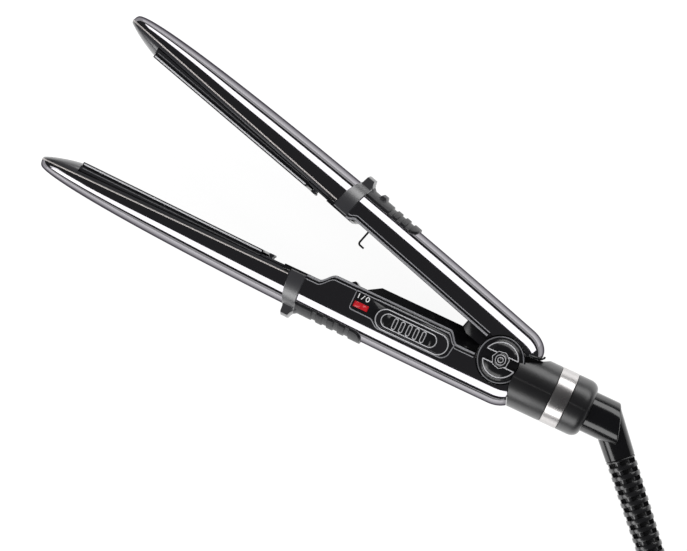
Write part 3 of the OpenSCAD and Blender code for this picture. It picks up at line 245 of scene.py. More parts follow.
# Lacquered ABS of the swivel: sharp bands of light on black
lacquered_abs = grained("lacquered_black_abs", "#0f0f11", 0.16, 0.45, 0.001, spread=0.03, Coat_Weight=0.4,
                    Coat_Roughness=0.14)
# Grey-black ABS of the tip caps, with a soft sheen
cap_abs = grained("sheened_grey_abs", "#323236", 0.34, 0.45, 0.002, Coat_Weight=0.8, Coat_IOR=1.8, Coat_Roughness=0.3)
print("materials in the file with the plastics:", len(bpy.data.materials))

# %% [markdown]
# ## Painted edge highlights, metals and the rest
# The lines of light on the edges of black parts are painted in: the beads along those edges get
# pale finishes of their own, which are painted highlights. Metals keep the default index of refraction,
# and their colour is that of the mirror. Red, green and white parts are plain moulded stock.

# %% Painted edge highlights and metals
# Painted highlight: a pale grey on the beads along black edges, standing in for the line of light that a small radius
# catches
dim_painted_highlight = grained("black_edge_painted_highlight", "#8c8c90", 0.35, 0.5, 0.0, metallic=0.2)
# Painted highlight: a brighter pale grey on the beads of raised edges, standing in for their lines of light
bright_painted_highlight = grained("raised_edge_painted_highlight", "#c9c9cc", 0.3, 0.5, 0.0, metallic=0.3)
# Partly the shell's real rolled plated rim, partly a painted highlight: a pale warm colour standing in for the line of
# light along the lip
lip_painted_highlight = grained("plated_lip_painted_highlight", "#c4bebb", 0.3, 0.5, 0.0, metallic=0.4)
# Aluminium plates under a sprayed ceramic coat: smooth, black, with a faint metal glance
coated_plate = grained("black_ceramic_coated_aluminium", "#17171a", 0.2, 0.5, 0.001, metallic=0.3)
# Drawn and turned steel of pins, screws and springs: bright, with fine drawing marks
steel = grained("drawn_steel", "#b7b7bb", 0.28, 0.6, 0.004, metallic=1.0)
# Blackened spring wire of the lock's hook: dark, with a thin line of light
blackened = grained("blackened_spring_wire", "#1c1c1e", 0.35, 0.5, 0.004, metallic=0.4)
# Satin chrome of the ring: a bright broad band instead of a sharp mirror
chrome = grained("satin_chrome", "#cfcccb", 0.3, 0.4, 0.002, spread=0.04, metallic=1.0)
# Turned brass of the bushes: warm and a little dull from oil
brass = grained("turned_brass", "#c39a4e", 0.3, 0.6, 0.004, metallic=1.0)
print("materials in the file with the metals:", len(bpy.data.materials))

# %% Red, green and white parts, and the rubbers
# Sintered ceramic of the heaters: chalky, a little warm
ceramic = grained("sintered_ceramic", "#e2dccd", 0.6, 0.3, 0.02)
# Glossy red ABS of the switch: a clear colour with one small highlight
red_abs = grained("red_glossy_abs", "#c01823", 0.24, 0.5, 0.004)
# Glass and resin laminate of the circuit board, green lacquered
laminate = grained("green_board_laminate", "#2c6a3c", 0.4, 0.4, 0.006)
# Silicone sleeves of the inner leads: pale and soft
silicone = grained("silicone_insulation", "#c9c9c4", 0.5, 0.5, 0.01)
# Soft PVC of cord and plug: dull black. The relief's is polished by handling and shows bands of light
rubber = grained("soft_black_pvc", "#18181a", 0.42, 0.5, 0.012)
relief_pvc = grained("polished_black_pvc", "#141416", 0.3, 0.5, 0.004, Coat_Weight=0.8, Coat_Roughness=0.25)
# Printed white ink: flat and opaque
white_ink = grained("white_printed_ink", "#ececec", 0.5, 0.5, 0.0)
print("materials in the file with all finishes:", len(bpy.data.materials))

# %% [markdown]
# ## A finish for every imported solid
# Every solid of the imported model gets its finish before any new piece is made, so that nothing
# is left bare. The inner pieces show only through the open hinge, but keep their own finish.

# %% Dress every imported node
looks = {
    smoked_plating: ["fixed_shell", "moving_shell"],
    glossy_abs: ["fixed_tip_cap", "moving_tip_cap", "fixed_handle_cover", "moving_handle_cover", "moving_tail_cap",
                "control_panel", "hinge_fork", "near_hub_cap", "far_hub_cap", "lock_slider", "temperature_slider",
                "switch_housing", "hinge_frame", "cord_ties"],
    nylon: ["fixed_plate_carrier", "moving_plate_carrier"],
    grey_abs: ["fixed_grip", "moving_grip"],
    collar_abs: ["collar_front_half", "collar_back_half", "swivel_barrel", "swivel_elbow"],
    coated_plate: ["fixed_plate", "moving_plate"],
    ceramic: ["fixed_heater", "moving_heater"],
    steel: ["fixed_thermal_fuse", "moving_thermal_fuse", "fixed_plate_springs", "moving_plate_springs",
            "fixed_cover_screws", "moving_cover_screws", "hinge_pin", "torsion_spring", "slide_potentiometer",
            "plug_pins"],
    blackened: ["lock_hook"],
    chrome: ["chrome_ring"],
    brass: ["hinge_bushes"],
    red_abs: ["power_switch"],
    laminate: ["circuit_board"],
    silicone: ["fixed_heater_leads", "moving_heater_leads", "mains_leads"],
    rubber: ["strain_relief", "cord", "cord_coil", "cord_tail", "plug_body"],
}
for finish, names in looks.items():
    for name in names:
        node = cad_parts[name]
        node.data.materials.clear()
        node.data.materials.append(finish)
undressed = set(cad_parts) - {name for names in looks.values() for name in names}
print("nodes without a finish:", sorted(undressed))
curve.materials.append(rubber)

# %% [markdown]
# ## Table
# The object lies on a sheet of white acrylic. From above it is plain white. At a glancing angle
# it mirrors the lamps instead, and so each polished barrel shows them a second time, as a thin
# bright line low on its side. A plain diffuse floor would be simpler, but gives no such line.

# %% Sheet of the table
floor_mesh = bpy.data.meshes.new("table")
floor_mesh.from_pydata([(-0.45, -0.36, 0), (0.35, -0.36, 0), (0.35, 0.36, 0), (-0.45, 0.36, 0)], [],
                       [(0, 1, 2, 3)])
table = bpy.data.objects.new("table", floor_mesh)
table.location = (0, 0, -0.0002)
bpy.context.collection.objects.link(table)
print("table:", np.round(table.dimensions, 2), "m")

# %% White acrylic
acrylic, tree, shader = material("white_acrylic_sheet", "#848484", 0.08)
output = next(n for n in tree.nodes if n.type == "OUTPUT_MATERIAL")


def looked_at(tree):
    """1 where the camera, a mirror or clear glass looks: Is Camera Ray + Is Glossy Ray + Is Transmission Ray."""
    seen = add(tree, "ShaderNodeLightPath")
    both = add(tree, "ShaderNodeMath", links={0: (seen, "Is Camera Ray"), 1: (seen, "Is Glossy Ray")}, operation="ADD")
    return add(tree, "ShaderNodeMath", links={0: (both, "Value"), 1: (seen, "Is Transmission Ray")},
               operation="ADD", use_clamp=True)


# Acrylic shows its own white less at a glancing angle, where it mirrors the lamps and the dark room
mirrored = add(tree, "ShaderNodeFresnel", {"IOR": 1.49})
shown = add(tree, "ShaderNodeMapRange", {"From Min": 0.0, "From Max": 1.0, "To Min": 0.95, "To Max": 0.0},
            {"Value": (mirrored, "Fac")})
glow = add(tree, "ShaderNodeEmission", {"Color": (1, 1, 1, 1)}, {"Strength": (shown, "Result")})
shade = add(tree, "ShaderNodeAddShader", links={0: (shader, "BSDF"), 1: (glow, "Emission")})
choose = add(tree, "ShaderNodeMixShader", links={0: (looked_at(tree), "Value"), 1: (shader, "BSDF"),
                                                 2: (shade, "Shader")})
tree.links.new(choose.outputs["Shader"], output.inputs["Surface"])
table.data.materials.append(acrylic)
print("acrylic:", len(tree.nodes), "nodes")

# %% [markdown]
# ## Lamps
# A polished barrel is drawn by what it mirrors. A long upright softbox on either side gives its
# white strip, the dark ceiling between them its black band, and the dark wall under them the
# line next to the strip. A smaller one towards the cord lights the collar's end. Area lamps
# suit this best, because their straight edges mirror as crisp lines.

# %% Softboxes
def softbox(name, azimuth, low, high, away, length, radiance, along=0.0):
    """An upright flat lamp at a distance, from zenith angle low to high as seen from the object, towards azimuth.
    Its middle is pushed along its own length to the left, seen from the object."""
    top, foot = away / math.tan(math.radians(low)), away / math.tan(math.radians(high))
    data = bpy.data.lights.new(name, "AREA")
    data.shape = "RECTANGLE"
    data.size = length
    data.size_y = top - foot
    data.energy = radiance * math.pi * length * (top - foot)
    lamp = bpy.data.objects.new(name, data)
    c, s = math.cos(math.radians(azimuth)), math.sin(math.radians(azimuth))
    lamp.location = (away * c - along * s, away * s + along * c, (top + foot) / 2 + MID * MM)
    lamp.rotation_euler = (math.radians(90), 0, math.radians(azimuth + 90))
    bpy.context.collection.objects.link(lamp)
    return lamp


softbox("softbox_outer", -90, 51, 78, 1.5, 2.4, 3.0, -0.5)
softbox("softbox_inner", 74, 51, 78, 1.5, 2.4, 3.0, 0.5)
softbox("softbox_cord", -137, 52, 74, 1.5, 0.7, 2.0)
print("lamps:", len(bpy.data.lights))

# %% [markdown]
# ## Room
# The camera and mirrors see a dark room over a white ground. Everything else is lit by a soft
# even fill, as in a studio with pale walls, which brings out the black plastics.

# %% Room
room = bpy.data.worlds.new("room")
bpy.context.scene.world = room
room.use_nodes = True
tree = room.node_tree
tree.nodes.clear()
way = add(tree, "ShaderNodeTexCoord")
split = add(tree, "ShaderNodeSeparateXYZ", links={"Vector": (way, "Generated")})
band = add(tree, "ShaderNodeMapRange", {"From Min": -0.03, "From Max": -0.012, "To Min": 1.0, "To Max": 0.0},
           {"Value": (split, "Z")}, interpolation_type="SMOOTHSTEP")
tint = add(tree, "ShaderNodeMix", {6: (0.04, 0.04, 0.042, 1), 7: (1.05, 1.05, 1.05, 1)}, {0: (band, "Result")},
           data_type="RGBA")
dark_room = add(tree, "ShaderNodeBackground", {"Strength": 1.0}, {"Color": (tint, 2)})
fill = add(tree, "ShaderNodeBackground", {"Color": (1, 1, 1, 1), "Strength": 0.55})
either = add(tree, "ShaderNodeMixShader", links={0: (looked_at(tree), "Value"), 1: (fill, "Background"),
                                                 2: (dark_room, "Background")})
add(tree, "ShaderNodeOutputWorld", links={"Surface": (either, "Shader")})
print("room:", len(tree.nodes), "nodes")

# %% [markdown]
# ## Shape of an arm
# One law gives every section of an arm: straight walls above a lip, and half an ellipse below
# it, deep at the hinge and slim at the tip. The sections could be drawn one by one and lofted.
# A formula is shorter and smoother, and the same law then places shells, caps and grips.

# %% Depth and width along an arm
arm_length, arm_depth, arm_width = 249.0, 22.1, 26.8
nose_depth, lip, wall = 8.9, 5.8, 1.6
tail_from, tail_round, tail_depth = 3.0, 12.0, 14.0
handle_length = 110.0


def tail_share(x):
    """How far x is round the tail: 0 at x = -3, 1 at x = -15."""
    return np.clip((-x - tail_from) / tail_round, 0, 1)


def back_depth(x):
    """Depth of the back: nose + (arm - nose) (1 - (x/L)^1.9)^0.51, and a quarter ellipse round the tail."""
    front = nose_depth + (arm_depth - nose_depth) * (1 - np.clip(x / arm_length, 0, 1) ** 1.9) ** 0.51
    rear = tail_depth + (arm_depth - tail_depth) * np.sqrt(1 - tail_share(x) ** 2)
    return np.where(x < 0, rear, front)


def half_width(x):
    """Half width: constant, with a blunt nose (1 - (x/L)^24)^(1/3), a little narrower round the tail."""
    front = arm_width / 2 * (1 - np.clip(x / arm_length, 0, 1) ** 24) ** (1 / 3)
    rear = arm_width / 2 - 2.4 * (1 - np.sqrt(1 - tail_share(x) ** 2))
    return np.where(x < 0, rear, front)


print("depth of an arm at 0, 100 and 200 mm:", np.round(back_depth(np.array([0, 100, 200])), 1), "mm")

# %% One section, and where each arm lies
def fullness(x):
    """Power of the section's curve: 2, a plain ellipse, and a little squarer towards the tip."""
    return 2 + 0.25 * ease((x - 170) / 60)


def section(x, t, grow=0.0):
    """Superellipse below the lip: y = -lip - a sin(t)^(2/n), z = b cos(t)^(2/n), for t from 0 to pi."""
    e = 2 / fullness(x)
    a, b = back_depth(x) - lip + grow, half_width(x) + grow
    s, c = np.clip(np.sin(t), 0, None), np.cos(t)
    return -lip - a * s ** e, b * np.sign(c) * np.abs(c) ** e


def on_fixed(p):
    """Arm frame to row frame for the fixed arm: x turns to -x."""
    return np.stack([-p[..., 0], p[..., 1], p[..., 2] + MID], -1)


def on_moving(p):
    """Arm frame to row frame for the moving arm: turned by 163.7 degrees about the hinge."""
    c, s = math.cos(math.radians(163.7)), math.sin(math.radians(163.7))
    return np.stack([p[..., 0] * c - p[..., 1] * s, p[..., 0] * s + p[..., 1] * c, p[..., 2] + MID], -1)


print("tip of the moving arm:", np.round(on_moving(np.array([arm_length, 0, 0])), 1), "mm")

# %% [markdown]
# ## Three ways to make a mesh
# Most new pieces are grids of points worked out with numpy: one function welds their seams,
# turns their faces outwards and says if an edge is left open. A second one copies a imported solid
# whose form is already right. A third one carries a thin round bead along a path.

# %% A piece from points and faces
def piece(name, points, faces, finish, body, nodes=(), smooth=True):
    """Makes a mesh piece in millimetres that rides on a body and may replace CAD nodes."""
    mesh = bpy.data.meshes.new(name)
    mesh.from_pydata((np.asarray(points) * MM).tolist(), [], faces)
    made = bmesh.new()
    made.from_mesh(mesh)
    bmesh.ops.remove_doubles(made, verts=made.verts, dist=2e-6)
    bmesh.ops.dissolve_degenerate(made, dist=2e-6, edges=made.edges)
    bmesh.ops.recalc_face_normals(made, faces=made.faces)
    open_edges = sum(len(e.link_faces) != 2 for e in made.edges)
    made.to_mesh(mesh)
    made.free()
    mesh.polygons.foreach_set("use_smooth", [smooth] * len(mesh.polygons))
    mesh.set_sharp_from_angle(angle=math.radians(40))
    mesh.materials.append(finish)
    print(name, len(mesh.polygons), "faces, open edges:", open_edges)
    thing = bpy.data.objects.new(name, mesh)
    bpy.context.collection.objects.link(thing)
    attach(thing, body)
    if nodes:
        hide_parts(*nodes)
    return thing


# %% Faces of grids and tubes
def quads(rows, columns, start=0, wrap=False):
    """Faces of a grid of rows x columns points, counted row by row."""
    i, j = np.meshgrid(np.arange(rows - 1), np.arange(columns if wrap else columns - 1), indexing="ij")
    k = (j + 1) % columns
    return (start + np.stack([i * columns + j, i * columns + k, (i + 1) * columns + k, (i + 1) * columns + j], -1)
            ).reshape(-1, 4).tolist()


def capped(rows, columns):
    """Faces of a closed tube of rows x columns points: its sides, and a flat face on either end."""
    ends = [list(range(columns))[::-1], [(rows - 1) * columns + k for k in range(columns)]]
    return quads(rows, columns, wrap=True) + ends


print("a tube of 3 rings of 4 points has", len(capped(3, 4)), "faces")

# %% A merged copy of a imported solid, with rounded edges if a width is given
def moulded(node, finish, body, width=0.0):
    """A merged copy of a CAD node, smooth except at its sharp edges; a width in mm rounds those as well."""
    sharp = math.radians(35)
    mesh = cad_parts[node].data.copy()
    mesh.name = "moulded_" + node
    made = bmesh.new()
    made.from_mesh(mesh)
    bmesh.ops.remove_doubles(made, verts=made.verts, dist=2e-6)
    if width:
        bmesh.ops.dissolve_limit(made, angle_limit=math.radians(0.5), verts=made.verts, edges=made.edges)
    made.to_mesh(mesh)
    made.free()
    mesh.polygons.foreach_set("use_smooth", [True] * len(mesh.polygons))
    mesh.set_sharp_from_angle(angle=sharp)
    mesh.materials.clear()
    mesh.materials.append(finish)
    thing = bpy.data.objects.new(mesh.name, mesh)
    bpy.context.collection.objects.link(thing)
    if width:
        soft = thing.modifiers.new("rounded edges", "BEVEL")
        soft.width = width * MM
        soft.segments = 3
        soft.limit_method = "ANGLE"
        soft.angle_limit = sharp
        soft.harden_normals = True
        soft.miter_outer = "MITER_ARC"
    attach(thing, body)
    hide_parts(node)
    return thing


# %% A bead along a path
def bead(name, path, radius, finish, body, place, closed=True, flat=1.0):
    """A round bead along a path: p + r (n cos a + flat b sin a), with n and b square to the path."""
    p = np.asarray(path, float)
    ahead = np.roll(p, -1, 0) if closed else np.vstack([p[1:], 2 * p[-1] - p[-2]])
    behind = np.roll(p, 1, 0) if closed else np.vstack([2 * p[0] - p[1], p[:-1]])
    way = (ahead - behind) / np.linalg.norm(ahead - behind, axis=1, keepdims=True)
    n = np.cross(way, [0, 0, 1])
    n /= np.linalg.norm(n, axis=1, keepdims=True)
    b = np.cross(n, way)
    a = np.linspace(0, 2 * np.pi, 10, endpoint=False)[None, :, None]
    rings = p[:, None] + radius * (n[:, None] * np.cos(a) + flat * b[:, None] * np.sin(a))
    if closed:
        rings = np.concatenate([rings, rings[:1]])
    faces = quads(len(rings), 10, wrap=True)
    if not closed:
        faces += [list(range(10))[::-1], [(len(rings) - 1) * 10 + k for k in range(10)]]
    return piece(name, place(rings.reshape(-1, 3)), faces, finish, body)


# %% [markdown]
# ## Polished shells
# The real shell is moulded thin and plated. It could be a surface with a Solidify modifier, but
# its rim shows a bright line, so it is built whole: an outer and an inner skin over the arm's
# law, joined by a rounded rim along the mouth. The mouth follows the covers on the handle and
# drops to the lip on the barrel. The grid is fine, because a mirror shows every facet.

# %% Edges of the shells' mouths
def bend(x, x0, y0, x1, y1):
    """A smooth step from y0 at x0 to y1 at x1, level before and after."""
    return y0 + (y1 - y0) * ease((x - x0) / (x1 - x0))


def fixed_edge(x):
    """Inner face of the fixed handle along the arm."""
    return np.where(x < 60, bend(x, 22.6, -2.0, 28.6, 3.5), bend(x, 90, 3.5, 97.5, -1.9))


def moving_edge(x):
    """Inner face of the moving handle along the arm."""
    return bend(x, 99, -4.1, 103, -2.0)


def mouth(x, edge):
    """Top of the shell's wall: just under the cover on the handle, the lip on the barrel."""
    return np.where(x < handle_length, edge(x) - 2.1, -lip)


print("rise of the fixed handle over its barrel:", fixed_edge(45.0) - fixed_edge(105.0), "mm")

# %% Skin over an arm
def shell_points(x, top, grow, columns):
    """Grid over the arm: each row runs from a top edge down round the back and up again."""
    t = np.linspace(0, np.pi, columns)
    y, z = section(x[:, None], t[None, :], grow)
    top = top[:, None]
    levels = np.linspace(1, 0, 6)[None, :-1]
    rise = -lip + (top + lip) * levels
    side = np.broadcast_to((half_width(x) + grow)[:, None], rise.shape)
    y = np.hstack([rise, y, rise[:, ::-1]])
    z = np.hstack([side, z, -side])
    return np.stack([np.broadcast_to(x[:, None], y.shape), y, z], -1)


print("one row of a skin has", shell_points(np.array([50.0]), np.array([-2.0]), 0.0, 89).shape[1], "points")

# %% A shell from two skins and a rim
def shell(name, edge, place, body, node):
    """Outer skin, rounded rim and inner skin in one ring per row; the rows' ends are closed by flat faces."""
    s = np.linspace(0, 1, 150)
    x = np.concatenate([-tail_from - tail_round * np.cos(np.linspace(0, np.pi / 2, 18)),
                        np.linspace(-2.9, handle_length - 0.01, 70),
                        handle_length + (arm_length - handle_length) * (1 - (1 - s) ** 2.2)])
    outer = shell_points(x, mouth(x, edge), 0.0, 89)
    inside = np.clip(x, -13.4, 241)
    inner = shell_points(inside, mouth(inside, edge), -wall, 89)
    # The rim is rounded: the two skins end a little lower than its middle
    drop = 0.12
    for skin in (outer, inner):
        skin[..., 1] = np.minimum(skin[..., 1], skin[:, :1, 1] - drop)
    rims = []
    for c in (0, -1):
        a, b, up = outer[:, c], inner[:, c], np.array([0, drop, 0])
        rims.append(np.stack([a + (b - a) * f + up * h
                              for f, h in ((0.08, 0.6), (0.25, 0.95), (0.75, 0.95), (0.92, 0.6))], 1))
    loop = np.concatenate([outer, rims[1], inner[:, ::-1], rims[0][:, ::-1]], 1)
    rows, around = loop.shape[:2]
    count = outer.shape[1]
    rim = [*range(count - 1, count + 5), *range(2 * count + 3, around), 0]
    faces = quads(rows, around, wrap=True)
    faces += [list(range(count))[::-1], list(range(count + 4, 2 * count + 4)), rim]
    faces += [[(rows - 1) * around + k for k in range(count + 4, 2 * count + 4)][::-1],
              [(rows - 1) * around + k for k in rim][::-1]]
    return piece(name, place(loop.reshape(-1, 3)), faces, smoked_plating, body, [node])


# %% [markdown]
# ## Cutters
# The shells and the collar are cut away where the hinge turns. A cut could be left to a live
# modifier; here it is applied at once, so that the piece is plain mesh. Each cutter is a flat
# outline of lines and arcs, drawn from above and given a height.

# %% Cutting a closed form out of a piece
def carve(thing, cutter_points, cutter_faces):
    """Cuts a closed form out of a piece and keeps the result as its mesh."""
    mesh = bpy.data.meshes.new("cutter")
    mesh.from_pydata((np.asarray(cutter_points) * MM).tolist(), [], cutter_faces)
    made = bmesh.new()
    made.from_mesh(mesh)
    bmesh.ops.recalc_face_normals(made, faces=made.faces)
    made.to_mesh(mesh)
    made.free()
    cutter = bpy.data.objects.new("cutter", mesh)
    bpy.context.collection.objects.link(cutter)
    cut = thing.modifiers.new("cut", "BOOLEAN")
    cut.operation = "DIFFERENCE"
    cut.solver = "EXACT"
    cut.object = cutter
    bpy.context.view_layer.update()
    ready = bpy.data.meshes.new_from_object(thing.evaluated_get(bpy.context.evaluated_depsgraph_get()))
    thing.modifiers.remove(cut)
    old = thing.data
    thing.data = ready
    bpy.data.meshes.remove(old)
    bpy.data.objects.remove(cutter)
    bpy.data.meshes.remove(mesh)
    ready.name = thing.name


# %% Flat outlines and prisms
def prism(outline, z0, z1):
    """Points and faces of a flat outline between two heights."""
    n = len(outline)
    low = np.column_stack([outline, np.full(n, z0)])
    high = np.column_stack([outline, np.full(n, z1)])
    faces = [list(range(n))[::-1], list(range(n, 2 * n))]
    faces += [[i, (i + 1) % n, n + (i + 1) % n, n + i] for i in range(n)]
    return np.vstack([low, high]), faces


def circle(cx, cy, r, count=96, a0=0.0, a1=360.0, closed=True):
    """Points (cx + r cos a, cy + r sin a) for a from a0 to a1 degrees; a closed one leaves out the last."""
    a = np.radians(np.linspace(a0, a1, count, endpoint=not closed))
    return np.column_stack([cx + r * np.cos(a), cy + r * np.sin(a)])


def stadium(cx, cy, length, width, count=25):
    """Two half circles joined by straight lines: a slot with round ends, lying along x."""
    r, h = width / 2, (length - width) / 2
    return np.vstack([circle(cx + h, cy, r, count, -90, 90, False), circle(cx - h, cy, r, count, 90, 270, False)])


print("a slot's outline has", len(stadium(0, 0, 10, 4)), "points")

# %% [markdown]
# ## The two shells
# Both arms have the same plated shell, turned over. Each is cut round the hub by a well, where
# the fork and knuckle turn, and behind it: the fixed one stops at the collar, and the moving
# one is cut slantwise so that it clears the collar when it opens.

# %% The two shells
def placed_prism(outline, place):
    """A prism over an outline drawn in an arm's own frame."""
    points, faces = prism(np.asarray(outline, float), -30, 30)
    return place(points), faces


fork_well = 12.4  # radius of the round opening in which fork and knuckle turn
well = circle(0, 0, fork_well, 128)
behind_collar = [(-40, -40), (-12.6, -40), (-12.6, -21.4), (-8.5, -9.3), (-8.5, 20), (-40, 20)]
over_tail = [(-40, -26.135), (-5, -9.86), (-5, 20), (-40, 20)]
shell_of_fixed_arm = shell("polished_fixed_shell", fixed_edge, on_fixed, "fixed_arm", "fixed_shell")
shell_of_moving_arm = shell("polished_moving_shell", moving_edge, on_moving, "moving_arm", "moving_shell")
for thing, place, rear in ((shell_of_fixed_arm, on_fixed, behind_collar),
                           (shell_of_moving_arm, on_moving, over_tail)):
    carve(thing, *placed_prism(rear, place))
    carve(thing, *placed_prism(well, place))
    low, high = np.array(thing.bound_box).min(0) / MM, np.array(thing.bound_box).max(0) / MM
    print(thing.name, len(thing.data.polygons), "faces,", np.round(low, 1), "to", np.round(high, 1))

# %% [markdown]
# ## Moulded parts
# Covers, carriers, panel, plates and hub caps are moulded or stamped, and their forms are those
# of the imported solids. What a solid lacks is clean shading: a merged copy of each is smooth
# over its curves and sharp at its edges, and the plates get the small radius of a pressed edge.

# %% Clean copies of the moulded parts
for node, finish, body, width in (
        ("fixed_handle_cover", glossy_abs, "fixed_arm", 0), ("moving_handle_cover", glossy_abs, "moving_arm", 0),
        ("control_panel", glossy_abs, "fixed_arm", 0), ("hinge_fork", glossy_abs, "moving_arm", 0),
        ("near_hub_cap", glossy_abs, "fixed_arm", 0), ("far_hub_cap", glossy_abs, "fixed_arm", 0),
        ("hinge_frame", glossy_abs, "fixed_arm", 0),
        ("fixed_plate_carrier", nylon, "fixed_arm", 0), ("moving_plate_carrier", nylon, "moving_arm", 0),
        ("fixed_plate", coated_plate, "fixed_plate_float", 0.3),
        ("moving_plate", coated_plate, "moving_plate_float", 0.3),
        ("lock_slider", glossy_abs, "lock_slide", 0), ("temperature_slider", glossy_abs, "heat_slide", 0),
        ("power_switch", red_abs, "power_rocker", 0), ("moving_tail_cap", glossy_abs, "moving_arm", 0)):
    copy = moulded(node, finish, body, width)
    print(copy.name, len(copy.data.polygons), "faces")

# %% [markdown]
# ## Tip caps
# A satin cap closes each barrel in front of its plate. It is a low dome across the arm that
# sinks to the nose in one soft curve. A bevelled block would show a flat top, so the cap is a
# row of rounded sections along the arm.

# %% Tip caps: a dome that sinks towards the nose
plate_end = 227.85


def tip_cap(name, place, body, node):
    """y = base + (top - base) sin(t)^0.8 and z = b cos(t)^0.8 over each station x, where
    top = 0.72 - 0.109 d - 0.00685 d^2 and d = x - 227.85 is the distance from the plate's end."""
    s = np.linspace(0, 1, 60)[:, None]
    x = plate_end + 20.9 * (1 - (1 - s) ** 1.8)
    d = x - plate_end
    top, base = 0.72 - 0.109 * d - 0.00685 * d ** 2, -5.6
    t = np.linspace(0, np.pi, 65)[None, :]
    b = np.minimum(half_width(x) - 0.35, 12.4)
    y = base + (top - base) * np.clip(np.sin(t), 0, None) ** 0.8
    z = b * np.sign(np.cos(t)) * np.abs(np.cos(t)) ** 0.8
    grid = np.stack([np.broadcast_to(x, y.shape), y, z], -1)
    return piece(name, place(grid.reshape(-1, 3)), capped(*grid.shape[:2]), cap_abs, body, [node])


tip_cap("domed_fixed_tip", on_fixed, "fixed_arm", "fixed_tip_cap")
tip_cap("domed_moving_tip", on_moving, "moving_arm", "moving_tip_cap")

# %% [markdown]
# ## Thumb grips
# Each arm has a grip clipped round its back: a band, a stop that keeps the finger off the hot
# barrel, and a ribbed pad. All are one moulding, so they are one height over the arm's skin:
# the highest of band, pad and stop, with softened borders. Separate blocks would show seams.

# %% Heights over the arm's skin
def within(distance, width=0.35):
    """0 outside, 1 inside, with a rounded edge of a width in mm."""
    return ease(np.clip(distance / width + 0.5, 0, 1))


def grip_height(x, y, z, end, notches, groove):
    """Height over the arm: 1.3 on the band and the pad, less the grooves; and below the skin, -0.3, elsewhere."""
    lean = np.interp(-y, [12, 16.4, 20.4, 24.1], [0, 0.7, 1.9, 3.0])
    band = within(np.minimum(np.minimum(x - 103.8, 111.9 - lean - x), -3.0 - y))
    dx, dz = np.maximum(end + 4 - x, 0), np.maximum(np.abs(z) - 4.9, 0)
    pad = within(np.minimum(4 - np.hypot(dx, dz), 104.5 - x))
    cuts = sum(within(1.25 - np.abs(x - at), 0.5) for at in notches)
    return -0.3 + 1.6 * np.maximum(band, pad * (1 - groove / 1.6 * cuts))


def stop_height(x, z, boss):
    """The finger stop, hollow behind and steep in front, 12 mm wide; the moving arm also has a small boss."""
    rise = np.interp(x, [102.1, 103.8, 104.8, 105.3, 109.1, 109.4, 109.65], [0, 1.2, 2.7, 4.2, 4.2, 3.5, 0])
    small = np.interp(x, [94.1, 94.4, 95.3, 97.6, 98.6, 98.9], [0, 0.2, 1.7, 1.7, 0.2, 0]) if boss else 0
    return np.maximum(rise, small) * within(5.8 - np.abs(z), 0.5)


print("height of the finger stop at 107 mm:", stop_height(np.array(107.0), np.array(0.0), False), "mm")

# %% The two grips
def grip(name, place, body, node, edge, end, notches, groove, boss):
    """Outer surface from the height, inner one 0.9 mm below the skin, joined along the border."""
    x = np.linspace(end - 1.0, 112.6, 230)
    top = np.where(x < 103.4, mouth(x, edge) - 0.4, -2.7)
    base = shell_points(x, top, 0.0, 141)
    low = shell_points(x, top, -0.9, 141)
    px, py, pz = base[..., 0], base[..., 1], base[..., 2]
    high = grip_height(px, py, pz, end, notches, groove)
    unit = base - low
    unit /= np.linalg.norm(unit, axis=-1, keepdims=True)
    outer = base + unit * high[..., None]
    outer[..., 1] -= stop_height(px, pz, boss)
    loop = np.concatenate([outer, low[:, ::-1]], 1)
    made = piece(name, place(loop.reshape(-1, 3)), capped(*loop.shape[:2]), grey_abs, body, [node])
    centre = np.empty(3 * len(made.data.polygons))
    made.data.polygons.foreach_get("center", centre)
    ahead = place(np.array([1.0, 0, 0])) - place(np.array([0.0, 0, 0]))
    on_pad = centre.reshape(-1, 3) / MM @ ahead < 103.6
    made.data.materials.append(pad_abs)
    made.data.polygons.foreach_set("material_index", on_pad.astype(np.int32))
    print(name, "pad faces:", int(on_pad.sum()), "of", len(on_pad))
    return made


grip("fixed_thumb_grip", on_fixed, "fixed_arm", "fixed_grip", fixed_edge, 67.3,
     [75.2 + 6 * k for k in range(4)], 0.7, False)
grip("moving_thumb_grip", on_moving, "moving_arm", "moving_grip", moving_edge, 72.1,
     [77.6 + 5.4 * k for k in range(3)], 0.85, True)

# %% [markdown]
# ## Wedge behind the hub
# Between the collar's slope and the open arm's tail the hinge frame fills the corner, so that
# nothing is seen through it. A flat moulded wedge does that, and stays with the fixed arm.

# %% Wedge of the frame
wedge = [(7.6, 4.9), (8.2, 6.58), (17.7, 8.02), (19.4, 8.27), (19.4, 7.2), (12.5, 3.4), (9.3, 1.8)]
points, faces = prism(np.asarray(wedge, float), -8.6, 8.6)
piece("frame_wedge", points + [0, 0, MID], faces, glossy_abs, "fixed_arm", smooth=False)

# %% [markdown]
# ## Collar
# The collar is moulded in two halves that clamp the frame's stub and meet in a shallow groove.
# Like the ring and the swivel behind it, it is a turned form, and so a profile carried round an
# axis. Each half is closed, and then cut where the shells and the hub lie.

# %% A profile carried round an axis
# Side, up and along are the axis's own three directions
def turned(profile, a, centre, along, side, groove=0.0):
    """Points centre + x along + r (cos a up + sin a side) for a profile of (x, r); the groove's depth in mm
    lowers r near the seams at a = 0 and 180 degrees by groove exp(-(r sin a / 0.35)^2)."""
    x, r = np.asarray(profile, float).T
    r = r[None, :] - groove * np.exp(-(r[None, :] * np.sin(a)[:, None] / 0.35) ** 2) * (r[None, :] > 13)
    along, side, up = (np.asarray(v, float) for v in (along, side, (0, 0, 1)))
    ring_way = np.cos(a)[:, None] * up + np.sin(a)[:, None] * side
    return np.asarray(centre) + x[None, :, None] * along + r[..., None] * ring_way[:, None]


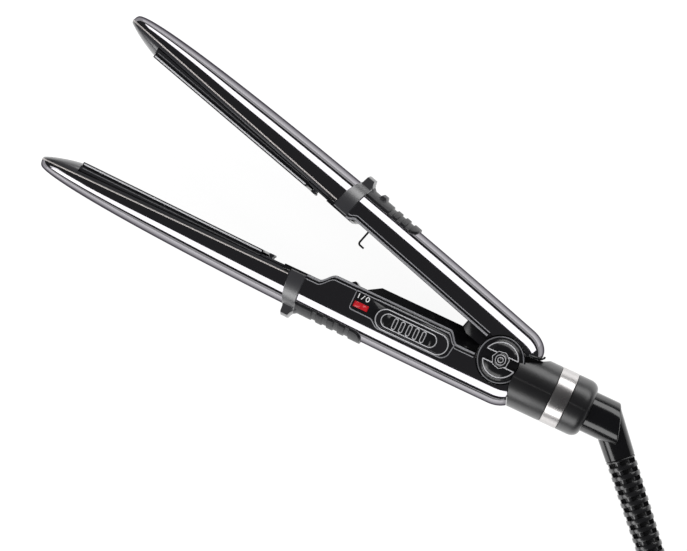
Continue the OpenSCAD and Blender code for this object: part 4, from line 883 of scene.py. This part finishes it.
# %% The collar's two halves
cap_well = 9.6  # radius of the openings for the hub caps
axis_start = np.array([0, swivel_y, MID])
turn = np.linspace(0, 2 * np.pi, 145)
end_arc = np.linspace(0, np.pi / 2, 13)
collar_profile = ([(4.0, 14.8), (29.6, 14.8), (29.8, 14.72), (29.9, 14.5), (29.9, 13.7), (39.1, 13.7),
                   (39.1, 14.5), (39.2, 14.72), (39.4, 14.8), (45.0, 14.8)]
                  + [(45.5 + 5 * math.sin(t), 14.8 - 3.8 * (1 - math.cos(t))) for t in end_arc]
                  + [(50.5, 10.7), (47.2, 10.7), (47.2, 12.5), (42.1, 12.5), (42.1, 12.8), (4.0, 12.8)])
fine_turn = np.concatenate([np.linspace(0, 0.12, 9), np.linspace(0.14, np.pi - 0.14, 90),
                            np.linspace(np.pi - 0.12, np.pi, 9)])
front_cut = [(-20, 60), (-20, -60), (25.9, -60), (12.9, -21.4), (8.8, -9.3), (8.8, 2.3), (60, 30.8), (60, 60)]
for name, side in (("collar_front_half", 1), ("collar_back_half", -1)):
    grid = turned(collar_profile, fine_turn, axis_start + [0, 0.02 * side, 0], (1, 0, 0), (0, side, 0), 0.18)
    half = piece("smooth_" + name, grid.reshape(-1, 3), capped(*grid.shape[:2]), collar_abs, "fixed_arm", [name])
    for outline, z0, z1 in ((front_cut, -40, 40), (circle(0, 0, fork_well), -12.7, 12.7),
                            (circle(0, 0, cap_well), -40, 40)):
        points, cut_faces = prism(np.asarray(outline, float), z0, z1)
        carve(half, points + [0, 0, MID], cut_faces)
    print(half.name, len(half.data.polygons), "faces after the cuts")

# %% [markdown]
# ## Chrome ring
# A rolled metal band sits in the collar's groove. Its edges are turned in by a small radius,
# which shows as a bright rim, so the profile has a few points round each edge.

# %% Chrome ring
band_profile = [(30.0, 13.85), (30.0, 14.5), (30.1, 14.74), (30.3, 14.88), (30.6, 14.92), (38.4, 14.92), (38.7, 14.88),
                (38.9, 14.74), (39.0, 14.5), (39.0, 13.85)]
grid = turned(band_profile, turn, axis_start, (1, 0, 0), (0, 1, 0))
piece("smooth_chrome_ring", grid.reshape(-1, 3), quads(len(turn), len(band_profile), wrap=True), chrome, "fixed_arm",
      ["chrome_ring"])

# %% [markdown]
# ## Swivel
# A stub turns in the collar and ends on a leaning plane, where the cord's cone takes over at an
# angle. The plane could be cut; here the last rings of the profile are simply moved along the
# axis by their height times the plane's slope.

# %% Stub up to a leaning plane, and the cone behind it
lean = math.tan(math.radians(18.5))
stub_profile = [(43.0, 0.0), (43.0, 12.2), (46.8, 12.2), (46.8, 10.6), (60.0, 10.6), (66.45, 10.6),
                (66.8, 10.52), (67.1, 10.3), (67.25, 9.9), (67.25, 0.0)]
grid = turned(stub_profile, turn, axis_start, (1, 0, 0), (0, 1, 0))
grid[..., 0] -= np.where(grid[..., 0] > 60.5, (grid[..., 1] - swivel_y) * lean, 0)
piece("swivel_stub", grid.reshape(-1, 3), quads(len(turn), len(stub_profile)), lacquered_abs, "cord_swivel",
      ["swivel_barrel"])
way = cord_exit[:2] - mitre[:2]
reach = float(np.linalg.norm(way))
way = np.append(way / reach, 0.0)
left = np.array([way[1], -way[0], 0.0])
relief_at = reach - 54.5
cone_profile = [(-5.3, 0.0), (-5.3, 8.1), (relief_at - 0.6, 7.57), (relief_at - 0.25, 7.5), (relief_at - 0.05, 7.25),
                (relief_at - 0.02, 0.0)]
grid = turned(cone_profile, turn, mitre, way, left)
piece("elbow_cone", grid.reshape(-1, 3), quads(len(turn), len(cone_profile)), lacquered_abs, "cord_swivel",
      ["swivel_elbow"])

# %% [markdown]
# ## Strain relief
# A soft sleeve keeps the cord from kinking: slots are cut through it down to the core, left and
# right of a spine. Rings and spines could be joined from many solids. As one radius over length
# and angle they are one closed skin, with a small radius at the edge of each ring.

# %% Strain relief
def relief_points():
    """r(z, a) is the skin, 7.55 - 0.75 z/54.5, lowered to the core, 4.7, in 11 slots, except on the spines,
    which stay 0.5 under the skin."""
    z = [0.0, 0.15, 0.35]
    shape = [0.45, 0.12, 0.0]
    slot = [0.0, 0.0, 0.0]
    for k in range(11):
        z0 = 1.1 + 4.6 * k
        for d, lower, cut in ((-0.3, 0.0, 0), (-0.1, 0.08, 0), (0.0, 0.3, 0), (0.02, 0.0, 1), (2.18, 0.0, 1),
                              (2.2, 0.3, 0), (2.3, 0.08, 0), (2.5, 0.0, 0)):
            z.append(z0 + d)
            shape.append(lower)
            slot.append(cut)
    z += [52.3, 52.6, 53.5, 54.5]
    shape += [0.0, 0.1, 1.2, 2.45]
    slot += [0.0] * 4
    z, shape, slot = (np.array(v)[:, None] for v in (z, shape, slot))
    a = np.linspace(0, 2 * np.pi, 217)[None, :]
    skin = 7.55 - 0.75 * z / 54.5
    spine = np.maximum(*(np.clip((half - skin * np.abs(np.sin(a - at))) / 0.15 + 0.5, 0, 1)
                         for half, at in ((0.9, math.radians(18)), (2.5, math.pi / 2))))
    floor = 4.7 + (skin - 0.5 - 4.7) * spine
    r = np.where(slot > 0, floor, skin - shape)
    up, side = np.array([0, 0, 1.0]), left
    return (mitre + (relief_at + z)[..., None] * way
            + r[..., None] * (np.cos(a)[..., None] * up + np.sin(a)[..., None] * side)), z.shape[0], a.shape[1]


points, rows, columns = relief_points()
ends = [list(range(columns - 1))[::-1], [(rows - 1) * columns + k for k in range(columns - 1)]]
piece("ribbed_strain_relief", points.reshape(-1, 3), quads(rows, columns) + ends, relief_pvc, "cord_swivel",
      ["strain_relief"])

# %% [markdown]
# ## Painted lines of light on the edges
# On a glossy moulding the eye reads the edges first: each is a small radius that shows a line
# of light from wherever it is seen. Here every such edge gets a thin bead of its own, carried
# along the edge's path, which stays clean where a bevel of the whole part would not. The beads'
# pale finishes are painted highlights: they show that line of light whatever the lamps do.

# %% Beads round the hub
def on_hub(p):
    """Hub frame to row frame: raised to the arms' middle plane."""
    return p + np.array([0, 0, MID])


def ring(cx, cy, r, z, a0=0.0, a1=360.0, closed=True):
    """Circle or arc at a height, in an arm's frame."""
    flat = circle(cx, cy, r, max(8, int(abs(a1 - a0) / 4)), a0, a1, closed)
    return np.column_stack([flat, np.full(len(flat), z)])


def level(outline, z):
    """A flat outline at one height."""
    return np.column_stack([outline, np.full(len(outline), z)])


cap_top, fork_top = 14.98, 12.28
# The pale beads round the caps and the fork are painted highlights along their edges
for side, label in ((1, "near"), (-1, "far")):
    top = side * cap_top
    for a0 in (18, 198):
        bead(f"{label}_cap_rim_{a0}", ring(0, 0, 8.7, top, a0, a0 + 144, False), 0.33, bright_painted_highlight, "fixed_arm",
             on_hub, False)
    for k, (x, y) in enumerate(((1, 1), (1, -1), (-1, 1), (-1, -1))):
        path = np.column_stack([np.linspace(3.0, 8.2, 6) * x, np.full(6, 2.8 * y), np.full(6, top)])
        bead(f"{label}_cap_bar_{k}", path, 0.3, bright_painted_highlight, "fixed_arm", on_hub, False)
    bead(f"{label}_cap_boss", level(circle(0, 0, 4.35, 8, 22.5, 382.5, False), top), 0.28, bright_painted_highlight,
         "fixed_arm", on_hub)
    bead(f"{label}_cap_middle", ring(0, 0, 2.6, top), 0.26, bright_painted_highlight, "fixed_arm", on_hub)
    bead(f"{label}_cap_centre", ring(0, 0, 1.25, top), 0.26, bright_painted_highlight, "fixed_arm", on_hub)
    bead(f"{label}_fork_rim", ring(0, 0, 11.35, side * fork_top), 0.33, dim_painted_highlight, "moving_arm", on_hub)

# %% [markdown]
# ## Control panel
# The raised panel narrows to its tub in two soft bends, and the slider in the tub has five
# slits. Each outline is drawn once from above, as lines, arcs and smooth steps, and a bead
# follows it at the height of its edge.

# %% Beads on the panel, its tub, the slider and its slits
def s_line(x0, y0, x1, y1, count=9):
    """A soft bend from one point to another: y follows a smooth step of x."""
    t = np.linspace(0, 1, count)
    return np.column_stack([x0 + (x1 - x0) * t, y0 + (y1 - y0) * ease(t)])


panel_outline = np.vstack([[(78.2, 1.1), (78.2, -7.8), (77.3, -8.5)], s_line(67, -8.7, 61.5, -11.7),
                           circle(28.7, -7.2, 4.5, 8, 270, 180, False), s_line(23.6, -3.2, 28.7, 1.1)])
steps = np.linspace(0, len(panel_outline), 240, endpoint=False)
loop = np.vstack([panel_outline, panel_outline[:1]])
panel_outline = np.column_stack([np.interp(steps, np.arange(len(loop)), loop[:, k]) for k in (0, 1)])
# Painted highlights: the pale beads on the edges of the panel, the tub, the slider and its slits
bead("panel_rim", level(panel_outline, 13.85), 0.28, dim_painted_highlight, "fixed_arm", on_fixed)
bead("tub_rim", level(stadium(45.3, -6.1, 38.5, 10.4), 13.88), 0.28, bright_painted_highlight, "fixed_arm", on_fixed)
bead("slider_rim", level(stadium(46.85, -6.1, 29.4, 6.8), 14.02), 0.26, bright_painted_highlight, "heat_slide", on_fixed)
for k in range(5):
    slit = stadium(0, 0, 5.6, 1.8)[:, ::-1] * [1, -1]
    bead(f"slit_rim_{k}", level(slit + [46.85 + 3.8 * (k - 2), -6.1], 14.08), 0.24, bright_painted_highlight, "heat_slide", on_fixed)

# %% [markdown]
# ## Marks
# The switch has the usual marks for on and off. They are printed, so they are beads pressed
# almost flat.

# %% Marks of the switch
ink_z = 14.0
bead("mark_on", [(76.3, -2.1, ink_z), (76.3, 0.3, ink_z)], 0.24, white_ink, "fixed_arm", on_fixed, False, 0.25)
bead("mark_stroke", [(74.6, -2.1, ink_z), (73.4, 0.3, ink_z)], 0.2, white_ink, "fixed_arm", on_fixed, False, 0.25)
bead("mark_off", ring(0, 0, 1.0, ink_z) * [0.75, 1.1, 1] + [71.5, -0.9, 0], 0.22, white_ink, "fixed_arm", on_fixed,
     True, 0.25)

# %% [markdown]
# ## Long edges
# Along each arm run the rolled lip of the shell, the edges of the plate and of the rail under
# it, and the edge and seam of the handle's cover. Both arms have the same set, on both sides.

# %% Beads along the covers, the plates and the lips of the shells
lip_from, lip_to = 112.5, 248.6
plate_lean = math.tan(math.radians(1))
# Painted highlights: pale beads along each lip, plate edge, rail edge, cover edge and seam; the lip is partly the real
# plated rim
for label, edge, place, body in (("fixed", fixed_edge, on_fixed, "fixed_arm"),
                                 ("moving", moving_edge, on_moving, "moving_arm")):
    x = np.linspace(12.8, 103.6, 160)
    lip_x = lip_from + (lip_to - lip_from) * (1 - (1 - np.linspace(0, 1, 150)) ** 2)
    plate_x = np.linspace(129.2, 226.4, 40)
    face = -0.45 + (plate_x - 128.55) * plate_lean
    for side, end in ((1, "near"), (-1, "far")):
        bead(f"{label}_lip_{end}", np.column_stack([lip_x, np.full(150, -5.9), side * (half_width(lip_x) - 0.2)]), 0.34,
             lip_painted_highlight, body, place, False)
        bead(f"{label}_plate_edge_{end}", np.column_stack([plate_x, face - 0.95, np.full(40, side * 11.8)]), 0.42,
             bright_painted_highlight, label + "_plate_float", place, False)
        bead(f"{label}_rail_edge_{end}", np.column_stack([plate_x, face - 3.0, np.full(40, side * 11.1)]), 0.27,
             dim_painted_highlight, body, place, False)
        bead(f"{label}_cover_edge_{end}", np.column_stack([x, edge(x) - 0.75, np.full(160, side * 12.85)]), 0.6,
             dim_painted_highlight, body, place, False)
        bead(f"{label}_seam_edge_{end}", np.column_stack([x, edge(x) - 2.5, np.full(160, side * 13.3)]), 0.25,
             dim_painted_highlight, body, place, False)
